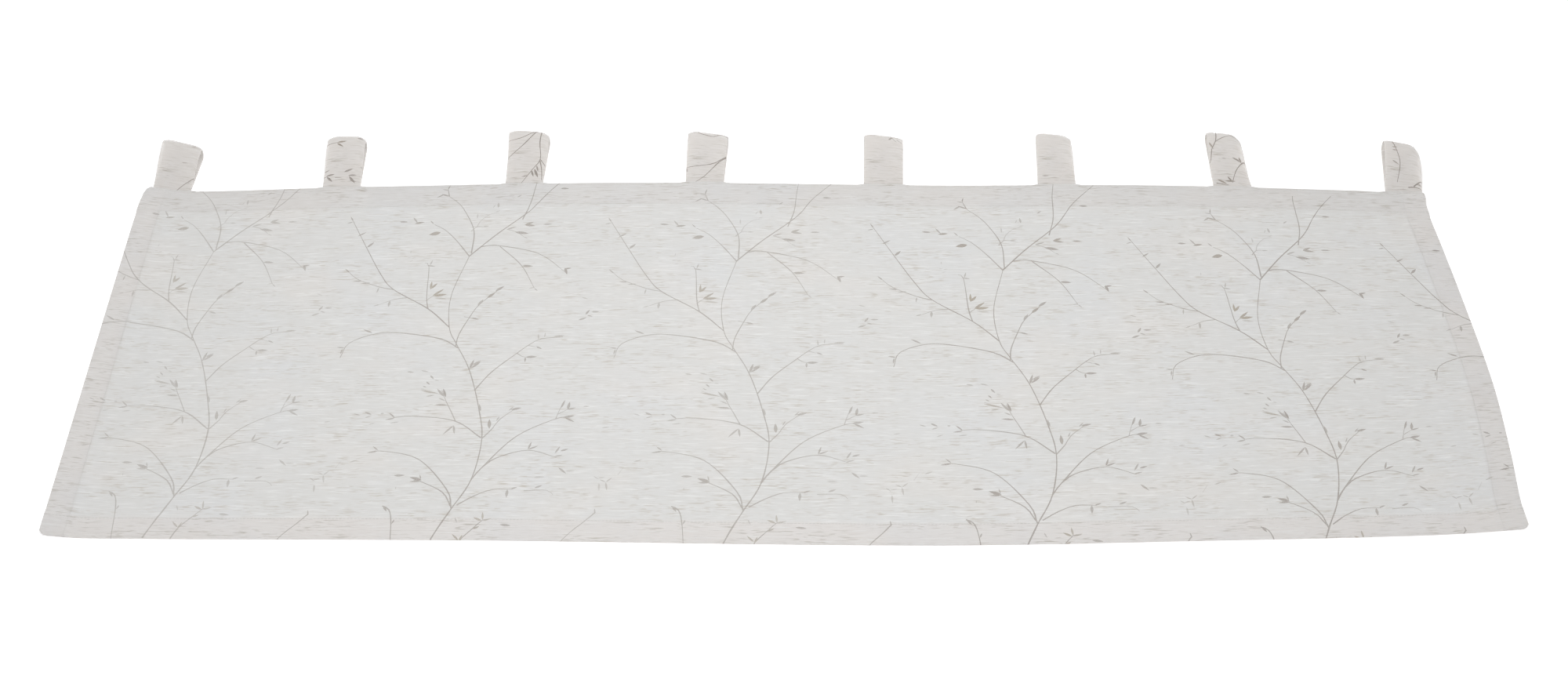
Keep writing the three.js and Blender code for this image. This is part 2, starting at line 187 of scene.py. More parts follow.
# The leaves and buds of the same repeat: where each one starts, which way it points in
# degrees, its length, its width as a share of that, and where it differs from most how
# dark it is and how olive
Leaf = namedtuple("Leaf", "x y towards long broad tone olive", defaults=(0.9, 0))
SLIM = 0.19
FULL = 0.28
LEAVES = (
    Leaf(-139, 447, 200, 6, SLIM), Leaf(-139, 448, 115, 7, SLIM), Leaf(-119, 404, 50, 9, FULL),
    Leaf(-131, 423, 35, 9, SLIM), Leaf(-109, 348, 185, 8, SLIM, 0.8),
    Leaf(-68, 441, 120, 9, SLIM, 0.8), Leaf(-118, 351, 175, 8, SLIM),
    Leaf(-99, 340, 260, 7, SLIM, 0.7), Leaf(-133, 365, 130, 7, SLIM),
    Leaf(-85, 319, 265, 8, FULL, 0.7), Leaf(-95, 314, 200, 6, SLIM, 0.7),
    Leaf(-48, 372, 75, 7, SLIM, 0.7), Leaf(-51, 372, -15, 8, SLIM, 0.8),
    Leaf(-44, 334, 88, 11, SLIM, 1.0, 0.9), Leaf(-44, 335, 52, 9, FULL, 1.0, 0.7),
    Leaf(-41, 324, 42, 13, SLIM, 1.0, 0.6), Leaf(-40, 324, 8, 12, FULL, 1.0, 0.8),
    Leaf(-39, 321, -8, 11, SLIM, 0.5, 1.0), Leaf(-88, 384, 0, 4, SLIM, 0.4),
    Leaf(-71, 392, 80, 4, SLIM, 0.5), Leaf(-74, 385, 0, 4, SLIM, 0.5),
    Leaf(-69, 384, 10, 4, SLIM, 0.5), Leaf(-71, 379, 20, 4, SLIM, 0.4),
    Leaf(-88, 444, -5, 8, FULL), Leaf(-71, 440, 10, 9, FULL, 1.0, 0.2),
    Leaf(-41, 424, 195, 11, 0.44, 1.0, 0.3), Leaf(-50, 438, 125, 6, SLIM),
    Leaf(-38, 482, 155, 9, SLIM), Leaf(-44, 486, 215, 8, SLIM),
    Leaf(-41, 492, 165, 6, SLIM, 0.8), Leaf(-42, 493, 80, 6, SLIM, 1.0),
    Leaf(-3, 444, 90, 7, SLIM, 0.5), Leaf(19, 460, 95, 7, FULL, 0.7),
    Leaf(13, 460, 65, 5, SLIM, 0.5), Leaf(16, 454, 20, 5, SLIM, 0.5),
    Leaf(4, 431, 0, 6, SLIM, 0.8), Leaf(38, 476, 40, 5, FULL, 0.8),
    Leaf(50, 431, 25, 9, FULL, 0.9, 0.2), Leaf(50, 431, -10, 10, FULL, 0.9, 0.2),
    Leaf(70, 431, 0, 9, SLIM), Leaf(84, 488, -5, 8, FULL), Leaf(40, 420, -12, 13, FULL),
    Leaf(31, 425, 20, 9, SLIM, 0.8), Leaf(50, 412, -35, 5, SLIM, 0.6),
    Leaf(96, 359, 10, 7, FULL, 1.0), Leaf(97, 361, -75, 9, FULL, 1.0),
    Leaf(51, 366, -5, 10, FULL), Leaf(66, 332, 190, 5, SLIM, 0.7),
    Leaf(66, 331, -50, 5, SLIM, 0.8), Leaf(3, 289, -20, 7, FULL, 0.8),
    Leaf(8, 307, 60, 9, FULL, 0.8), Leaf(17, 318, 45, 10, FULL, 1.0, 0.2),
    Leaf(25, 328, 40, 10, FULL), Leaf(-98, 271, 150, 10, SLIM, 0.8),
    Leaf(-124, 250, 170, 7, SLIM), Leaf(-126, 249, 260, 7, SLIM, 0.8),
    Leaf(122, 289, 60, 7, FULL), Leaf(128, 293, 0, 7, FULL, 0.8),
    Leaf(115, 281, 25, 8, FULL, 0.8), Leaf(124, 288, -20, 5, FULL, 0.8),
    Leaf(117, 315, -20, 6, SLIM, 0.6), Leaf(7, 214, 75, 12, SLIM), Leaf(8, 215, 42, 11, SLIM),
    Leaf(10, 220, 35, 8, FULL, 0.8), Leaf(73, 244, -30, 6, FULL), Leaf(63, 229, 270, 6, FULL),
    Leaf(63, 229, 2, 10, FULL), Leaf(75, 254, 95, 7, SLIM, 0.6),
    Leaf(81, 257, 85, 6, SLIM, 0.6), Leaf(90, 258, 5, 10, SLIM, 0.7, 0.3),
    Leaf(-56, 213, -10, 6, FULL, 0.7), Leaf(-42, 214, -15, 7, SLIM, 0.7),
    Leaf(-32, 207, -55, 6, FULL, 0.8), Leaf(-35, 198, -50, 5, FULL),
    Leaf(-38, 192, -30, 4, FULL, 0.8), Leaf(-40, 186, -16, 17, 0.12, 0.8, 0.8),
    Leaf(-33, 177, 10, 7, SLIM, 0.7, 0.3), Leaf(-27, 200, -15, 4, FULL, 0.5),
    Leaf(-61, 149, 135, 8, SLIM), Leaf(-61, 148, 190, 8, SLIM),
    Leaf(-56, 143, 190, 8, SLIM, 0.5), Leaf(-13, 175, 107, 11, SLIM, 1.0),
    Leaf(-10, 164, 175, 11, SLIM), Leaf(-15, 176, 125, 12, SLIM, 0.8),
    Leaf(-13, 170, 150, 7, SLIM, 0.7), Leaf(-1, 136, 232, 13, 0.14, 0.8),
    Leaf(-1, 136, 279, 10, SLIM, 0.8), Leaf(-103, 156, -20, 6, SLIM, 0.7),
    Leaf(-92, 158, -30, 7, FULL, 0.8), Leaf(-91, 150, 20, 6, SLIM, 0.7),
    Leaf(-76, 155, 0, 3, 0.6, 0.6), Leaf(-86, 140, 25, 6, SLIM, 0.5),
    Leaf(35, 130, 95, 11, FULL, 0.9, 0.2), Leaf(41, 140, 70, 6, SLIM, 0.7),
    Leaf(24, 154, 103, 9, SLIM, 0.8), Leaf(52, 154, 50, 6, SLIM, 0.8),
    Leaf(54, 155, 15, 9, FULL), Leaf(109, 143, -32, 10, SLIM), Leaf(107, 143, 12, 10, FULL),
    Leaf(104, 156, 72, 10, SLIM), Leaf(111, 154, 82, 9, FULL), Leaf(110, 154, 15, 8, SLIM),
    Leaf(76, 101, 75, 9, SLIM), Leaf(76, 101, 25, 9, SLIM), Leaf(103, 95, 65, 9, SLIM, 0.8),
    Leaf(108, 98, 20, 7, FULL), Leaf(103, 91, 15, 7, SLIM, 0.8),
    Leaf(-72, 105, 135, 7, SLIM, 0.8), Leaf(-72, 104, 190, 9, SLIM),
    Leaf(-24, 64, 160, 11, FULL, 1.0), Leaf(-24, 63, 182, 10, SLIM),
    Leaf(-25, 65, 105, 6, SLIM, 0.8), Leaf(61, 50, 270, 9, FULL, 0.8),
    Leaf(64, 50, 25, 6, FULL, 0.8), Leaf(108, 77, -45, 10, SLIM, 0.8),
    Leaf(-52, 71, 0, 9, FULL, 0.8), Leaf(126, 158, 0, 6, SLIM, 0.7),
    Leaf(147, 128, 10, 6, SLIM, 0.6), Leaf(-98, 90, 20, 7, SLIM, 0.6),
    Leaf(-128, 62, 275, 9, SLIM, 0.5, 0.3), Leaf(-134, 71, -40, 6, SLIM, 0.5),
    Leaf(-130, 68, 15, 6, SLIM, 0.5), Leaf(-57, 32, -60, 7, FULL),
    Leaf(-44, 14, 250, 5, FULL, 0.8), Leaf(40, 10, 150, 8, FULL, 0.9, 1.0),
    Leaf(41, 11, 95, 9, SLIM, 0.8, 1.0), Leaf(41, 10, 20, 8, SLIM, 0.7, 0.8),
    Leaf(32, 0, 25, 6, FULL, 1.0, 0.5), Leaf(14, 15, -70, 6, SLIM, 0.6),
    Leaf(20, -14, 130, 9, SLIM, 0.9, 1.0), Leaf(20, -16, 70, 8, SLIM, 0.9, 1.0),
    Leaf(58, 5, -8, 9, FULL, 0.8), Leaf(-128, 22, 100, 6, SLIM, 0.8),
    Leaf(156, 57, 150, 6, SLIM, 0.6, 0.3), Leaf(156, 57, 45, 7, SLIM, 0.6, 0.3),
    Leaf(156, 57, 280, 9, SLIM, 0.6, 0.3), Leaf(115, 72, 0, 8, SLIM, 0.5),
    Leaf(87, 51, 25, 7, FULL, 0.8), Leaf(-48, 53, 90, 3, FULL, 0.5),
    Leaf(85, 65, 0, 9, SLIM, 0.5, 0.3),
)

# Where each repeat starts: the foot of its stem across and up the panel, how wide and
# how tall it lies beside the chart, how much it leans and slopes, and how dark it is
Repeat = namedtuple("Repeat", "across up wide tall lean slope tone")
REPEATS = (
    Repeat(-862, 30, 0.96, 0.98, -0.02, -0.02, 0.6),
    Repeat(-590, 27.5, 0.943, 0.975, -0.022, -0.016, 0.6),
    Repeat(-325, 12, 0.98, 0.977, -0.004, 0.032, 0.78),
    Repeat(-49, 14.5, 1.02, 0.949, 0.014, 0.013, 0.7),
    Repeat(229, -1, 1.005, 0.961, 0.018, -0.018, 0.84),
    Repeat(503, -14, 0.951, 0.958, 0.0, 0.032, 0.84),
    Repeat(763, -19, 0.966, 0.955, 0.021, 0.003, 0.9),
)

# What the print shows on the upper layer of some tabs, measured from the lower left
# corner there
TAB_TWIGS = {
    1: (Twig(1.1, 1.0, ((44, 25), (32, 10), (24, -4))),),
    2: (
        Twig(1.2, 1.0, ((-2, 65), (11, 66))),
        Twig(0.9, 0.8, ((12, 15), (19, 15))),
        Twig(1.1, 0.9, ((-2, 16), (4, 17))),
    ),
    3: (
        Twig(1.2, 1.0, ((34, 90), (32, 62), (34, 37), (27, 22), (16, -2))),
        Twig(1.1, 1.0, ((34, 37), (42, 27))),
        Twig(1.1, 1.0, ((34, 35), (37, 22), (39, 6))),
        Twig(1.2, 1.0, ((31, 84), (12, 67), (-2, 64))),
        Twig(1.2, 1.0, ((30, 83), (15, 57), (-2, 36))),
    ),
    4: (
        Twig(1.3, 1.0, ((10, 84), (11, 73), (27, 69), (34, 74), (44, 71))),
        Twig(1.2, 1.0, ((44, 43), (35, 34), (26, 28), (-2, 22))),
        Twig(1.1, 1.0, ((43, 40), (35, 32), (20, 10), (11, 1))),
    ),
    5: (Twig(0.9, 0.8, ((29, 73), (33, 68), (36, 65))), Twig(0.9, 0.8, ((36, 69), (42, 65)))),
    7: (
        Twig(1.4, 1.0, ((13, 84), (11, 66), (5, 54), (2, 38), (-1, 33))),
        Twig(1.2, 0.9, ((11, 65), (19, 71), (30, 76), (42, 73))),
        Twig(1.3, 1.0, ((42, 42), (38, 37), (29, 24), (22, 7))),
        Twig(1.5, 1.0, ((4, 5), (10, 4), (17, 3))),
    ),
    8: (
        Twig(1.2, 1.0, ((9, 78), (15, 55), (17, 40), (13, 15))),
        Twig(1.5, 1.0, ((25, 9), (33, 10), (43, 9))),
        Twig(1.3, 1.0, ((31, 11), (38, 20), (43, 28))),
    ),
}
TAB_LEAVES = {
    1: (Leaf(25, 41, 5, 6, 0.2, 0.6), Leaf(31, 66, 20, 5, 0.3, 0.5)),
    2: (
        Leaf(10, 66, 12, 9, 0.25, 1.0, 0.5), Leaf(10, 65, -38, 8, 0.25, 1.0, 0.5),
        Leaf(31, 73, 0, 7, 0.3, 0.8), Leaf(2, 18, 12, 8, 0.25, 1.0),
        Leaf(3, 17, -52, 9, 0.25, 1.0), Leaf(0, 24, 25, 5, 0.3, 0.8), Leaf(21, 23, 26, 9, 0.25),
        Leaf(26, 18, 5, 8, 0.25), Leaf(27, 17, -55, 11, 0.22, 1.0), Leaf(28, 11, -15, 7, 0.22),
        Leaf(28, 0, 0, 3, 0.6, 0.8), Leaf(38, 31, 10, 5, 0.25, 0.6),
    ),
    3: (
        Leaf(29, 23, -68, 12, 0.2, 1.0), Leaf(26, 21, -72, 9, 0.2, 1.0),
        Leaf(23, 13, 200, 6, 0.25), Leaf(31, 28, -75, 8, 0.2),
    ),
    4: (Leaf(11, 76, 200, 6, 0.4, 1.0), Leaf(-1, 23, -70, 6, 0.3, 0.8)),
    5: (Leaf(27, 67, 45, 5, 0.35),),
    6: (Leaf(5, 14, 0, 7, 0.25, 0.5),),
    7: (
        Leaf(2, 64, -65, 10, 0.2, 0.9, 0.4), Leaf(37, 38, 150, 9, 0.25, 1.0),
        Leaf(36, 45, -80, 7, 0.3, 1.0), Leaf(6, 11, -35, 10, 0.22, 1.0, 0.3),
        Leaf(14, 9, 0, 10, 0.22, 1.0, 0.2), Leaf(18, 16, -62, 9, 0.22, 1.0),
        Leaf(15, 41, 0, 5, 0.3, 0.5),
    ),
    8: (
        Leaf(8, 44, -35, 8, 0.2, 0.8, 0.2), Leaf(9, 62, 10, 6, 0.3, 0.8, 0.5),
        Leaf(9, 58, 0, 6, 0.3, 0.7, 0.5), Leaf(34, 14, 20, 7, 0.25, 0.8, 0.3),
    ),
}


# Sizes and colours that a user would change

def length_setting(name, description, default, low, high):
    """A length in millimetres."""
    return FloatProperty(name=name, description=description, default=default * MM,
                         min=low * MM, max=high * MM, subtype="DISTANCE", unit="LENGTH")


def share_setting(name, description, default, high=1.0):
    """A share or a strength, from 0."""
    return FloatProperty(name=name, description=description, default=default,
                         min=0.0, max=high, subtype="FACTOR")


def colour_setting(name, description, *default):
    """A colour, as its red, green and blue."""
    return FloatVectorProperty(name=name, description=description, default=default,
                               min=0.0, max=1.0, subtype="COLOR")


class ClothSettings(bpy.types.PropertyGroup):
    """The cloth's make and the print's tones."""

    thickness: length_setting("Thickness", "Thickness of one layer of the cloth", 0.3, 0.1, 1.0)
    layer_pitch: length_setting(
        "Layer pitch", "From one layer to the next where they are sewn together", 0.37, 0.2, 1.5)
    fold_puff: length_setting(
        "Fold puff", "How much a turned hem stands up inside its fold", 0.75, 0.0, 2.0)
    mesh_step: length_setting("Mesh step", "Size of the faces on the open cloth", 9.0, 3.0, 40.0)
    yarn_colour: colour_setting(
        "Yarn colour", "Colour of a single layer of the cloth", 0.702, 0.698, 0.686)
    double_colour: colour_setting(
        "Double layer colour", "Colour where two layers lie on each other", 0.825, 0.793, 0.768)
    tab_colour: colour_setting(
        "Colour of the tabs", "Tone of a tab, two layers over a gap of air", 0.790, 0.760, 0.736)
    ink_colour: colour_setting("Twig colour", "Colour of the printed twigs", 0.318, 0.282, 0.254)
    leaf_colour: colour_setting(
        "Olive leaf colour", "Colour of the few olive leaves", 0.375, 0.315, 0.225)
    opacity: FloatProperty(
        name="Opacity", description="How much each face of the cloth hides what is behind it",
        default=0.86, min=0.2, max=1.0, subtype="FACTOR")
    glow_through: share_setting(
        "Glow-through", "How much of the light spreads through the yarns", 0.4)
    tab_opacity: share_setting(
        "Opacity of the tabs", "How much of what is behind a tab is hidden", 0.62)
    show_through: share_setting(
        "Show-through", "How much of the print's tone shows on the back", 0.45)
    slub: share_setting("Slub", "Strength of the light and dark slubs of the yarn", 1.0, 3.0)


class StitchSettings(bpy.types.PropertyGroup):
    """The machine stitches of the hems and the heading."""

    length: length_setting("Stitch length", "Length of one stitch", 2.9, 1.0, 8.0)
    gap: length_setting("Gap", "Gap between two stitches", 0.6, 0.0, 4.0)
    thread: length_setting("Thread", "Thickness of the thread", 0.34, 0.1, 1.5)
    colour: colour_setting("Thread colour", "Colour of the sewing thread", 0.575, 0.562, 0.542)
    seed: IntProperty(
        name="Seed", description="Which small unevenness the stitches have", default=4, min=0)


class StageSettings(bpy.types.PropertyGroup):
    """The floor, the light and the camera."""

    floor_colour: colour_setting("Floor colour", "Colour of the pale floor", 0.93, 0.93, 0.93)
    key_energy: FloatProperty(
        name="Main light", description="Power of the large soft light overhead",
        default=6.2, min=0.0, max=2000.0, subtype="POWER", unit="POWER")
    sky_strength: share_setting(
        "Surroundings", "Strength of the even light from all round", 0.75, 5.0)
    floor_glow: share_setting(
        "Floor glow", "Glow that keeps the floor white out to the corners", 0.3, 2.0)
    camera_height: FloatProperty(
        name="Camera height", description="Height of the camera above the floor",
        default=1.6706, min=0.1, max=10.0, subtype="DISTANCE", unit="LENGTH")
    camera_back: FloatProperty(
        name="Camera distance", description="How far in front of the curtain's middle it stands",
        default=1.7702, min=0.1, max=10.0, subtype="DISTANCE", unit="LENGTH")
    camera_down: FloatProperty(
        name="Camera tilt", description="How far the camera looks down",
        default=math.radians(43.716), min=0.0, max=math.radians(90), subtype="ANGLE",
        unit="ROTATION")
    lens: FloatProperty(
        name="Lens", description="Focal length on a sensor 36 mm wide, in millimetres",
        default=54.22, min=10.0, max=300.0)


# Plain shapes of numbers

def ease(t):
    """From 0 to 1 with a level start and end."""
    t = np.clip(t, 0.0, 1.0)
    return t * t * (3 - 2 * t)


def plateau(value, low, high, fall):
    """1 between low and high, falling softly to 0 over the fall on each side."""
    outside = np.maximum(np.maximum(low - value, value - high), 0)
    return 1 - ease(outside / fall)


def ripple(along, wavelength, start):
    """A gentle uneven wave between -1 and 1."""
    turn = 2 * math.pi * along / wavelength
    return (np.sin(turn + start) + np.sin(turn * 0.618 + 2.1 * start)
            + np.sin(turn * 1.731 + 0.7 * start)) / 3


def edge_at(edge, along):
    """How far out an edge lies, on the smooth curve through the rows of its table."""
    at = np.array([row.along for row in edge], float)
    out = np.array([row.out for row in edge], float)
    last = len(edge) - 2
    i = np.clip(np.searchsorted(at[1:], along), 0, last)
    before = np.maximum(i - 1, 0)
    after = np.minimum(i + 2, last + 1)
    step = at[i + 1] - at[i]
    t = (along - at[i]) / step
    start = (out[i + 1] - out[before]) / (at[i + 1] - at[before])
    end = (out[after] - out[i]) / (at[after] - at[i])
    bend = start * step * t * (1 - t) ** 2 - end * step * t * t * (1 - t)
    return out[i] + (out[i + 1] - out[i]) * t * t * (3 - 2 * t) + bend


def outline_shift():
    """From the table's own middle to the frame's origin, across and along, in mm."""
    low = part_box("panel")[0] / MM
    width = np.linspace(-PANEL_WIDTH / 2, PANEL_WIDTH / 2, 400)
    height = np.linspace(0, PANEL_HEIGHT, 200)
    return (low.x - edge_at(LEFT_EDGE, height).min(), low.y - edge_at(BOTTOM_EDGE, width).min())


SHIFT_X, SHIFT_Y = outline_shift()


def place_on_panel(x, y):
    """Where a point of the finished panel lies: x from the middle, y up from the bottom."""
    low = edge_at(BOTTOM_EDGE, x)
    high = edge_at(TOP_EDGE, x)
    left = edge_at(LEFT_EDGE, y)
    right = edge_at(RIGHT_EDGE, y)
    from_corner = PANEL_WIDTH / 2 - np.abs(x) + np.minimum(y, PANEL_HEIGHT - y)
    corner = np.maximum(0, 1 - from_corner / CORNER_REACH) * CORNER_ROUND
    lies_x = left + (right - left) * (x / PANEL_WIDTH + 0.5) - np.sign(x) * corner
    inward = np.where(y < PANEL_HEIGHT / 2, corner, -corner)
    lies_y = low + (high - low) * (y / PANEL_HEIGHT) + inward
    return lies_x + SHIFT_X, lies_y + SHIFT_Y


def soft_lift(x, y):
    """How far the cloth stands off the surface in its soft uneven places."""
    total = np.zeros_like(x)
    for lift in LIFTS:
        dx = x - lift.x
        dy = y - lift.y
        along = (dx * math.cos(lift.turn) + dy * math.sin(lift.turn)) / lift.length
        beside = (dy * math.cos(lift.turn) - dx * math.sin(lift.turn)) / lift.width
        total += lift.height * np.exp(-along * along - beside * beside)
    return np.maximum(0, total - LIFT_START)


# The lie of each cloth: flat cloth places to places in the frame, in mm

# How far the stitches run from a hem's inner edge and from the top
STITCH_IN = 2.0
TOP_STITCH_IN = 2.5

# The room under the cloth, and how round it folds
GROUND = 0.05
FOLD_RADIUS = 0.55
HALF_TURN = FOLD_RADIUS * math.pi / 2
FOLD_SLACK = HALF_TURN - FOLD_RADIUS

# The pucker along a seam and the slow waves of the cloth: their heights and their lengths
PUCKER = 0.12
PUCKER_REACH = 7.0
PUCKER_LENGTH = 11.0
WAVE = 0.12
WAVE_ACROSS = 170.0
WAVE_ALONG = 120.0

# A tab's double cloth where it is free and where it is sewn in, and its side edges
TAB_LAYER = 0.9
TONGUE_LAYER = 0.6
EDGE_RADIUS = 0.5
THINNEST_EDGE = 0.2


def turn_under(beyond):
    """A turned edge: how far in a place lies, and 1 on the front or 0 on the turned part.

    beyond is measured inwards from the finished edge, and below 0 round the fold."""
    past = beyond + FOLD_SLACK
    angle = np.clip(past / FOLD_RADIUS, -math.pi / 2, math.pi / 2)
    inset = FOLD_RADIUS * (1 - np.cos(angle)) + np.maximum(np.abs(past) - HALF_TURN, 0)
    return inset, 0.5 + 0.5 * np.sin(angle)


def layers_beneath(share_side, share_end, over_side, over_end):
    """How many layers of the same cloth lie under a place, at turned edges and corners."""
    front = share_side * ((1 + over_side) * (1 + over_end) - 1) + (1 - share_side) * 2 * over_end
    return share_end * front + (1 - share_end) * (1 - share_side)


def hem_swell(inset, hem):
    """How much of the puff a hem has, from its fold to the stitches that press it."""
    t = np.clip(inset / (hem - STITCH_IN), 0, 1)
    return (1 - t) ** 1.2 * (0.6 + 1.6 * t)


class Lie:
    """Where the cloth of the panel, the facing and the tabs lies, from the settings."""

    def __init__(self, cloth):
        self.thick = cloth.thickness / MM
        self.pitch = cloth.layer_pitch / MM
        self.puff = cloth.fold_puff / MM
        self.facing_top = GROUND + 2 * self.pitch
        self.tongue_low = self.facing_top + TONGUE_LAYER / 2
        self.tongue_high = self.tongue_low + TONGUE_LAYER
        self.tongue_top = self.tongue_high + TONGUE_LAYER / 2

    def support(self, x, y):
        """Height of what the panel rests on."""
        strip = plateau(y, PANEL_HEIGHT - HEADING, PANEL_HEIGHT, STEP_DOWN)
        ends = plateau(y, PANEL_HEIGHT - TAB_CAUGHT - TAB_ROOM, PANEL_HEIGHT, STEP_DOWN)
        tongues = np.zeros_like(x)
        for tab in TABS:
            beside = plateau(x, tab.left - TAB_ROOM, tab.right + TAB_ROOM, STEP_DOWN)
            tongues = np.maximum(tongues, beside)
        tongues = np.minimum(tongues, ends)
        side = plateau(PANEL_WIDTH / 2 - np.abs(x), -1, FACING_TURN, HEM_STEP)
        heading = strip * (self.facing_top + side * 2 * self.pitch)
        heading += tongues * (self.tongue_top - self.facing_top)
        return np.maximum(soft_lift(x, y), heading)

    def panel(self, u, v):
        """The middle of the panel's cloth at a place of the flat cut."""
        inset_x, share_x = turn_under(PANEL_WIDTH / 2 - np.abs(u))
        inset_low, share_low = turn_under(v)
        inset_top, share_top = turn_under(PANEL_HEIGHT - v)
        x = np.sign(u) * (PANEL_WIDTH / 2 - inset_x)
        y = np.where(v < PANEL_HEIGHT / 2, inset_low, PANEL_HEIGHT - inset_top)
        share_y = np.minimum(share_low, share_top)
        over_side = plateau(inset_x, 0, SIDE_HEM, HEM_STEP)
        over_low = plateau(inset_low, 0, BOTTOM_HEM, HEM_STEP)
        over_top = plateau(inset_top, 0, TOP_TURN, HEM_STEP)
        level = layers_beneath(share_x, share_y, over_side, np.maximum(over_low, over_top))
        side_swell = hem_swell(inset_x, SIDE_HEM) * share_x
        low_swell = hem_swell(inset_low, BOTTOM_HEM) * share_y
        top_swell = hem_swell(inset_top, TOP_TURN) * share_y * 0.5
        swell = np.maximum(np.maximum(side_swell, low_swell), top_swell)
        front = share_x * share_y
        seams = (
            (inset_x - (SIDE_HEM - STITCH_IN), y),
            (inset_low - (BOTTOM_HEM - STITCH_IN), x),
            (inset_top - (HEADING - STITCH_IN), x),
        )
        pucker = np.zeros_like(x)
        for k, (off, along) in enumerate(seams):
            near = np.exp(-(off / PUCKER_REACH) ** 2)
            pucker += PUCKER * near * (1 + ripple(along, PUCKER_LENGTH, 1.3 * k + 0.5))
        across = ripple(x + 0.4 * y, WAVE_ACROSS, 0.3)
        wave = WAVE * (1 + across * ripple(y - 0.3 * x, WAVE_ALONG, 1.9))
        height = self.support(x, y) + GROUND + self.thick / 2 + level * self.pitch
        height += swell * self.puff + front * (pucker + wave)
        lies_x, lies_y = place_on_panel(x, y)
        return np.column_stack([lies_x, lies_y, height])

    def facing(self, u, v):
        """The middle of the facing's cloth, whose face looks down: v from its lower edge."""
        half = PANEL_WIDTH / 2 - FACING_INSET
        tall = HEADING - 1.5 * FACING_INSET
        inset_x, share_x = turn_under(half - np.abs(u))
        inset_low, share_low = turn_under(v)
        inset_top, share_top = turn_under(tall - v)
        x = -np.sign(u) * (half - inset_x)
        y = np.where(v < tall / 2, inset_low, tall - inset_top)
        share_y = np.minimum(share_low, share_top)
        over_side = plateau(inset_x, 0, FACING_TURN, HEM_STEP)
        over_low = plateau(inset_low, 0, FACING_TURN, HEM_STEP)
        over_top = plateau(inset_top, 0, FACING_TURN, HEM_STEP)
        over_end = np.maximum(over_low, over_top)
        total = (1 + over_side) * (1 + over_end) - 1
        level = total - layers_beneath(share_x, share_y, over_side, over_end)
        height = GROUND + self.thick / 2 + level * self.pitch
        start = PANEL_HEIGHT - HEADING + FACING_INSET
        lies_x, lies_y = place_on_panel(x, start + y)
        return np.column_stack([lies_x, lies_y, height])

    def tab(self, tab, a, s):
        """The middle of a tab's double cloth: a across it from the left and s along it."""
        across = a / (tab.right - tab.left)
        bite_left = 1 - np.sqrt(1 - np.clip(1 - across / ROUND_SPAN, 0, 1) ** 2)
        bite_right = 1 - np.sqrt(1 - np.clip(1 - (1 - across) / ROUND_SPAN, 0, 1) ** 2)
        reach = tab.reach_left + (tab.reach_right - tab.reach_left) * across
        reach = reach - tab.round_left * bite_left - tab.round_right * bite_right
        high = tab.high_left + (tab.high_right - tab.high_left) * across
        low = GROUND + TAB_LAYER / 2
        turn = reach - FOLD_DEPTH
        half = (high - low) / 2
        fold = math.pi * np.sqrt((FOLD_DEPTH**2 + half**2) / 2)
        share = s / tab_length(tab)
        walked = share * (2 * TAB_CAUGHT + 2 * turn + fold)
        on_run = walked - TAB_CAUGHT
        on_fold = on_run - turn
        on_return = on_fold - fold
        angle = np.clip(on_fold / fold, 0, 1) * math.pi
        back = np.clip(on_return / turn, 0, 1)
        out = np.where(on_fold < 0, on_run, turn + FOLD_DEPTH * np.sin(angle))
        out = np.where(on_return > 0, turn - on_return, out)
        settle = 1 - ease(np.maximum(on_run, 0) / TAB_SETTLES)
        up = low + (self.tongue_low - low) * settle
        up = np.where(on_fold > 0, low + half * (1 - np.cos(angle)), up)
        returning = high + (self.tongue_high - high) * ease(back)
        up = np.where(on_return > 0, returning, up)
        base_x = tab.left + (tab.right - tab.left) * across
        seam_x, seam_y = place_on_panel(base_x, PANEL_HEIGHT + np.minimum(out, 0))
        gone = np.clip(out / reach, 0, 1)
        lean = tab.lean_left + (tab.lean_right - tab.lean_left) * across
        upper = ease((on_fold + fold / 2) / fold)
        bow = upper * tab.bow * np.sin(math.pi * gone)
        return np.column_stack([seam_x + lean * gone + bow, seam_y + np.maximum(out, 0), up])

    def tab_thickness(self, tab, a, s):
        """A tab's thickness, pressed in the seam and rounded off along both folded edges."""
        wide = tab.right - tab.left
        long = tab_length(tab)
        from_seam = np.minimum(s, long - s) - TAB_CAUGHT
        layer = TONGUE_LAYER + (TAB_LAYER - TONGUE_LAYER) * ease(from_seam / TAB_SWELLS)
        from_side = np.clip(np.minimum(a, wide - a) / EDGE_RADIUS, 0, 1)
        return layer * np.maximum(np.sqrt(1 - (1 - from_side) ** 2), THINNEST_EDGE)


def tab_length(tab):
    """Length of the strip that a tab is made of, seams included."""
    reach = (tab.reach_left + tab.reach_right) / 2
    half = (tab.high_left + tab.high_right) / 4
    fold = math.pi * math.sqrt((FOLD_DEPTH**2 + half**2) / 2)
    return 2 * TAB_CAUGHT + 2 * (reach - FOLD_DEPTH) + fold


# The print, as outlines on the flat cloth

# A twig's steps along its line and how thin it ends, and a leaf's steps and fullest place
STROKE_STEP = 6.0
STROKE_END = 0.45
LEAF_STEPS = 5
LEAF_BELLY = 0.85

# How much larger the leaves and wider the twigs are than charted, from a comparison
# with the photo
LEAF_GROWTH = 1.2
TWIG_GROWTH = 1.15


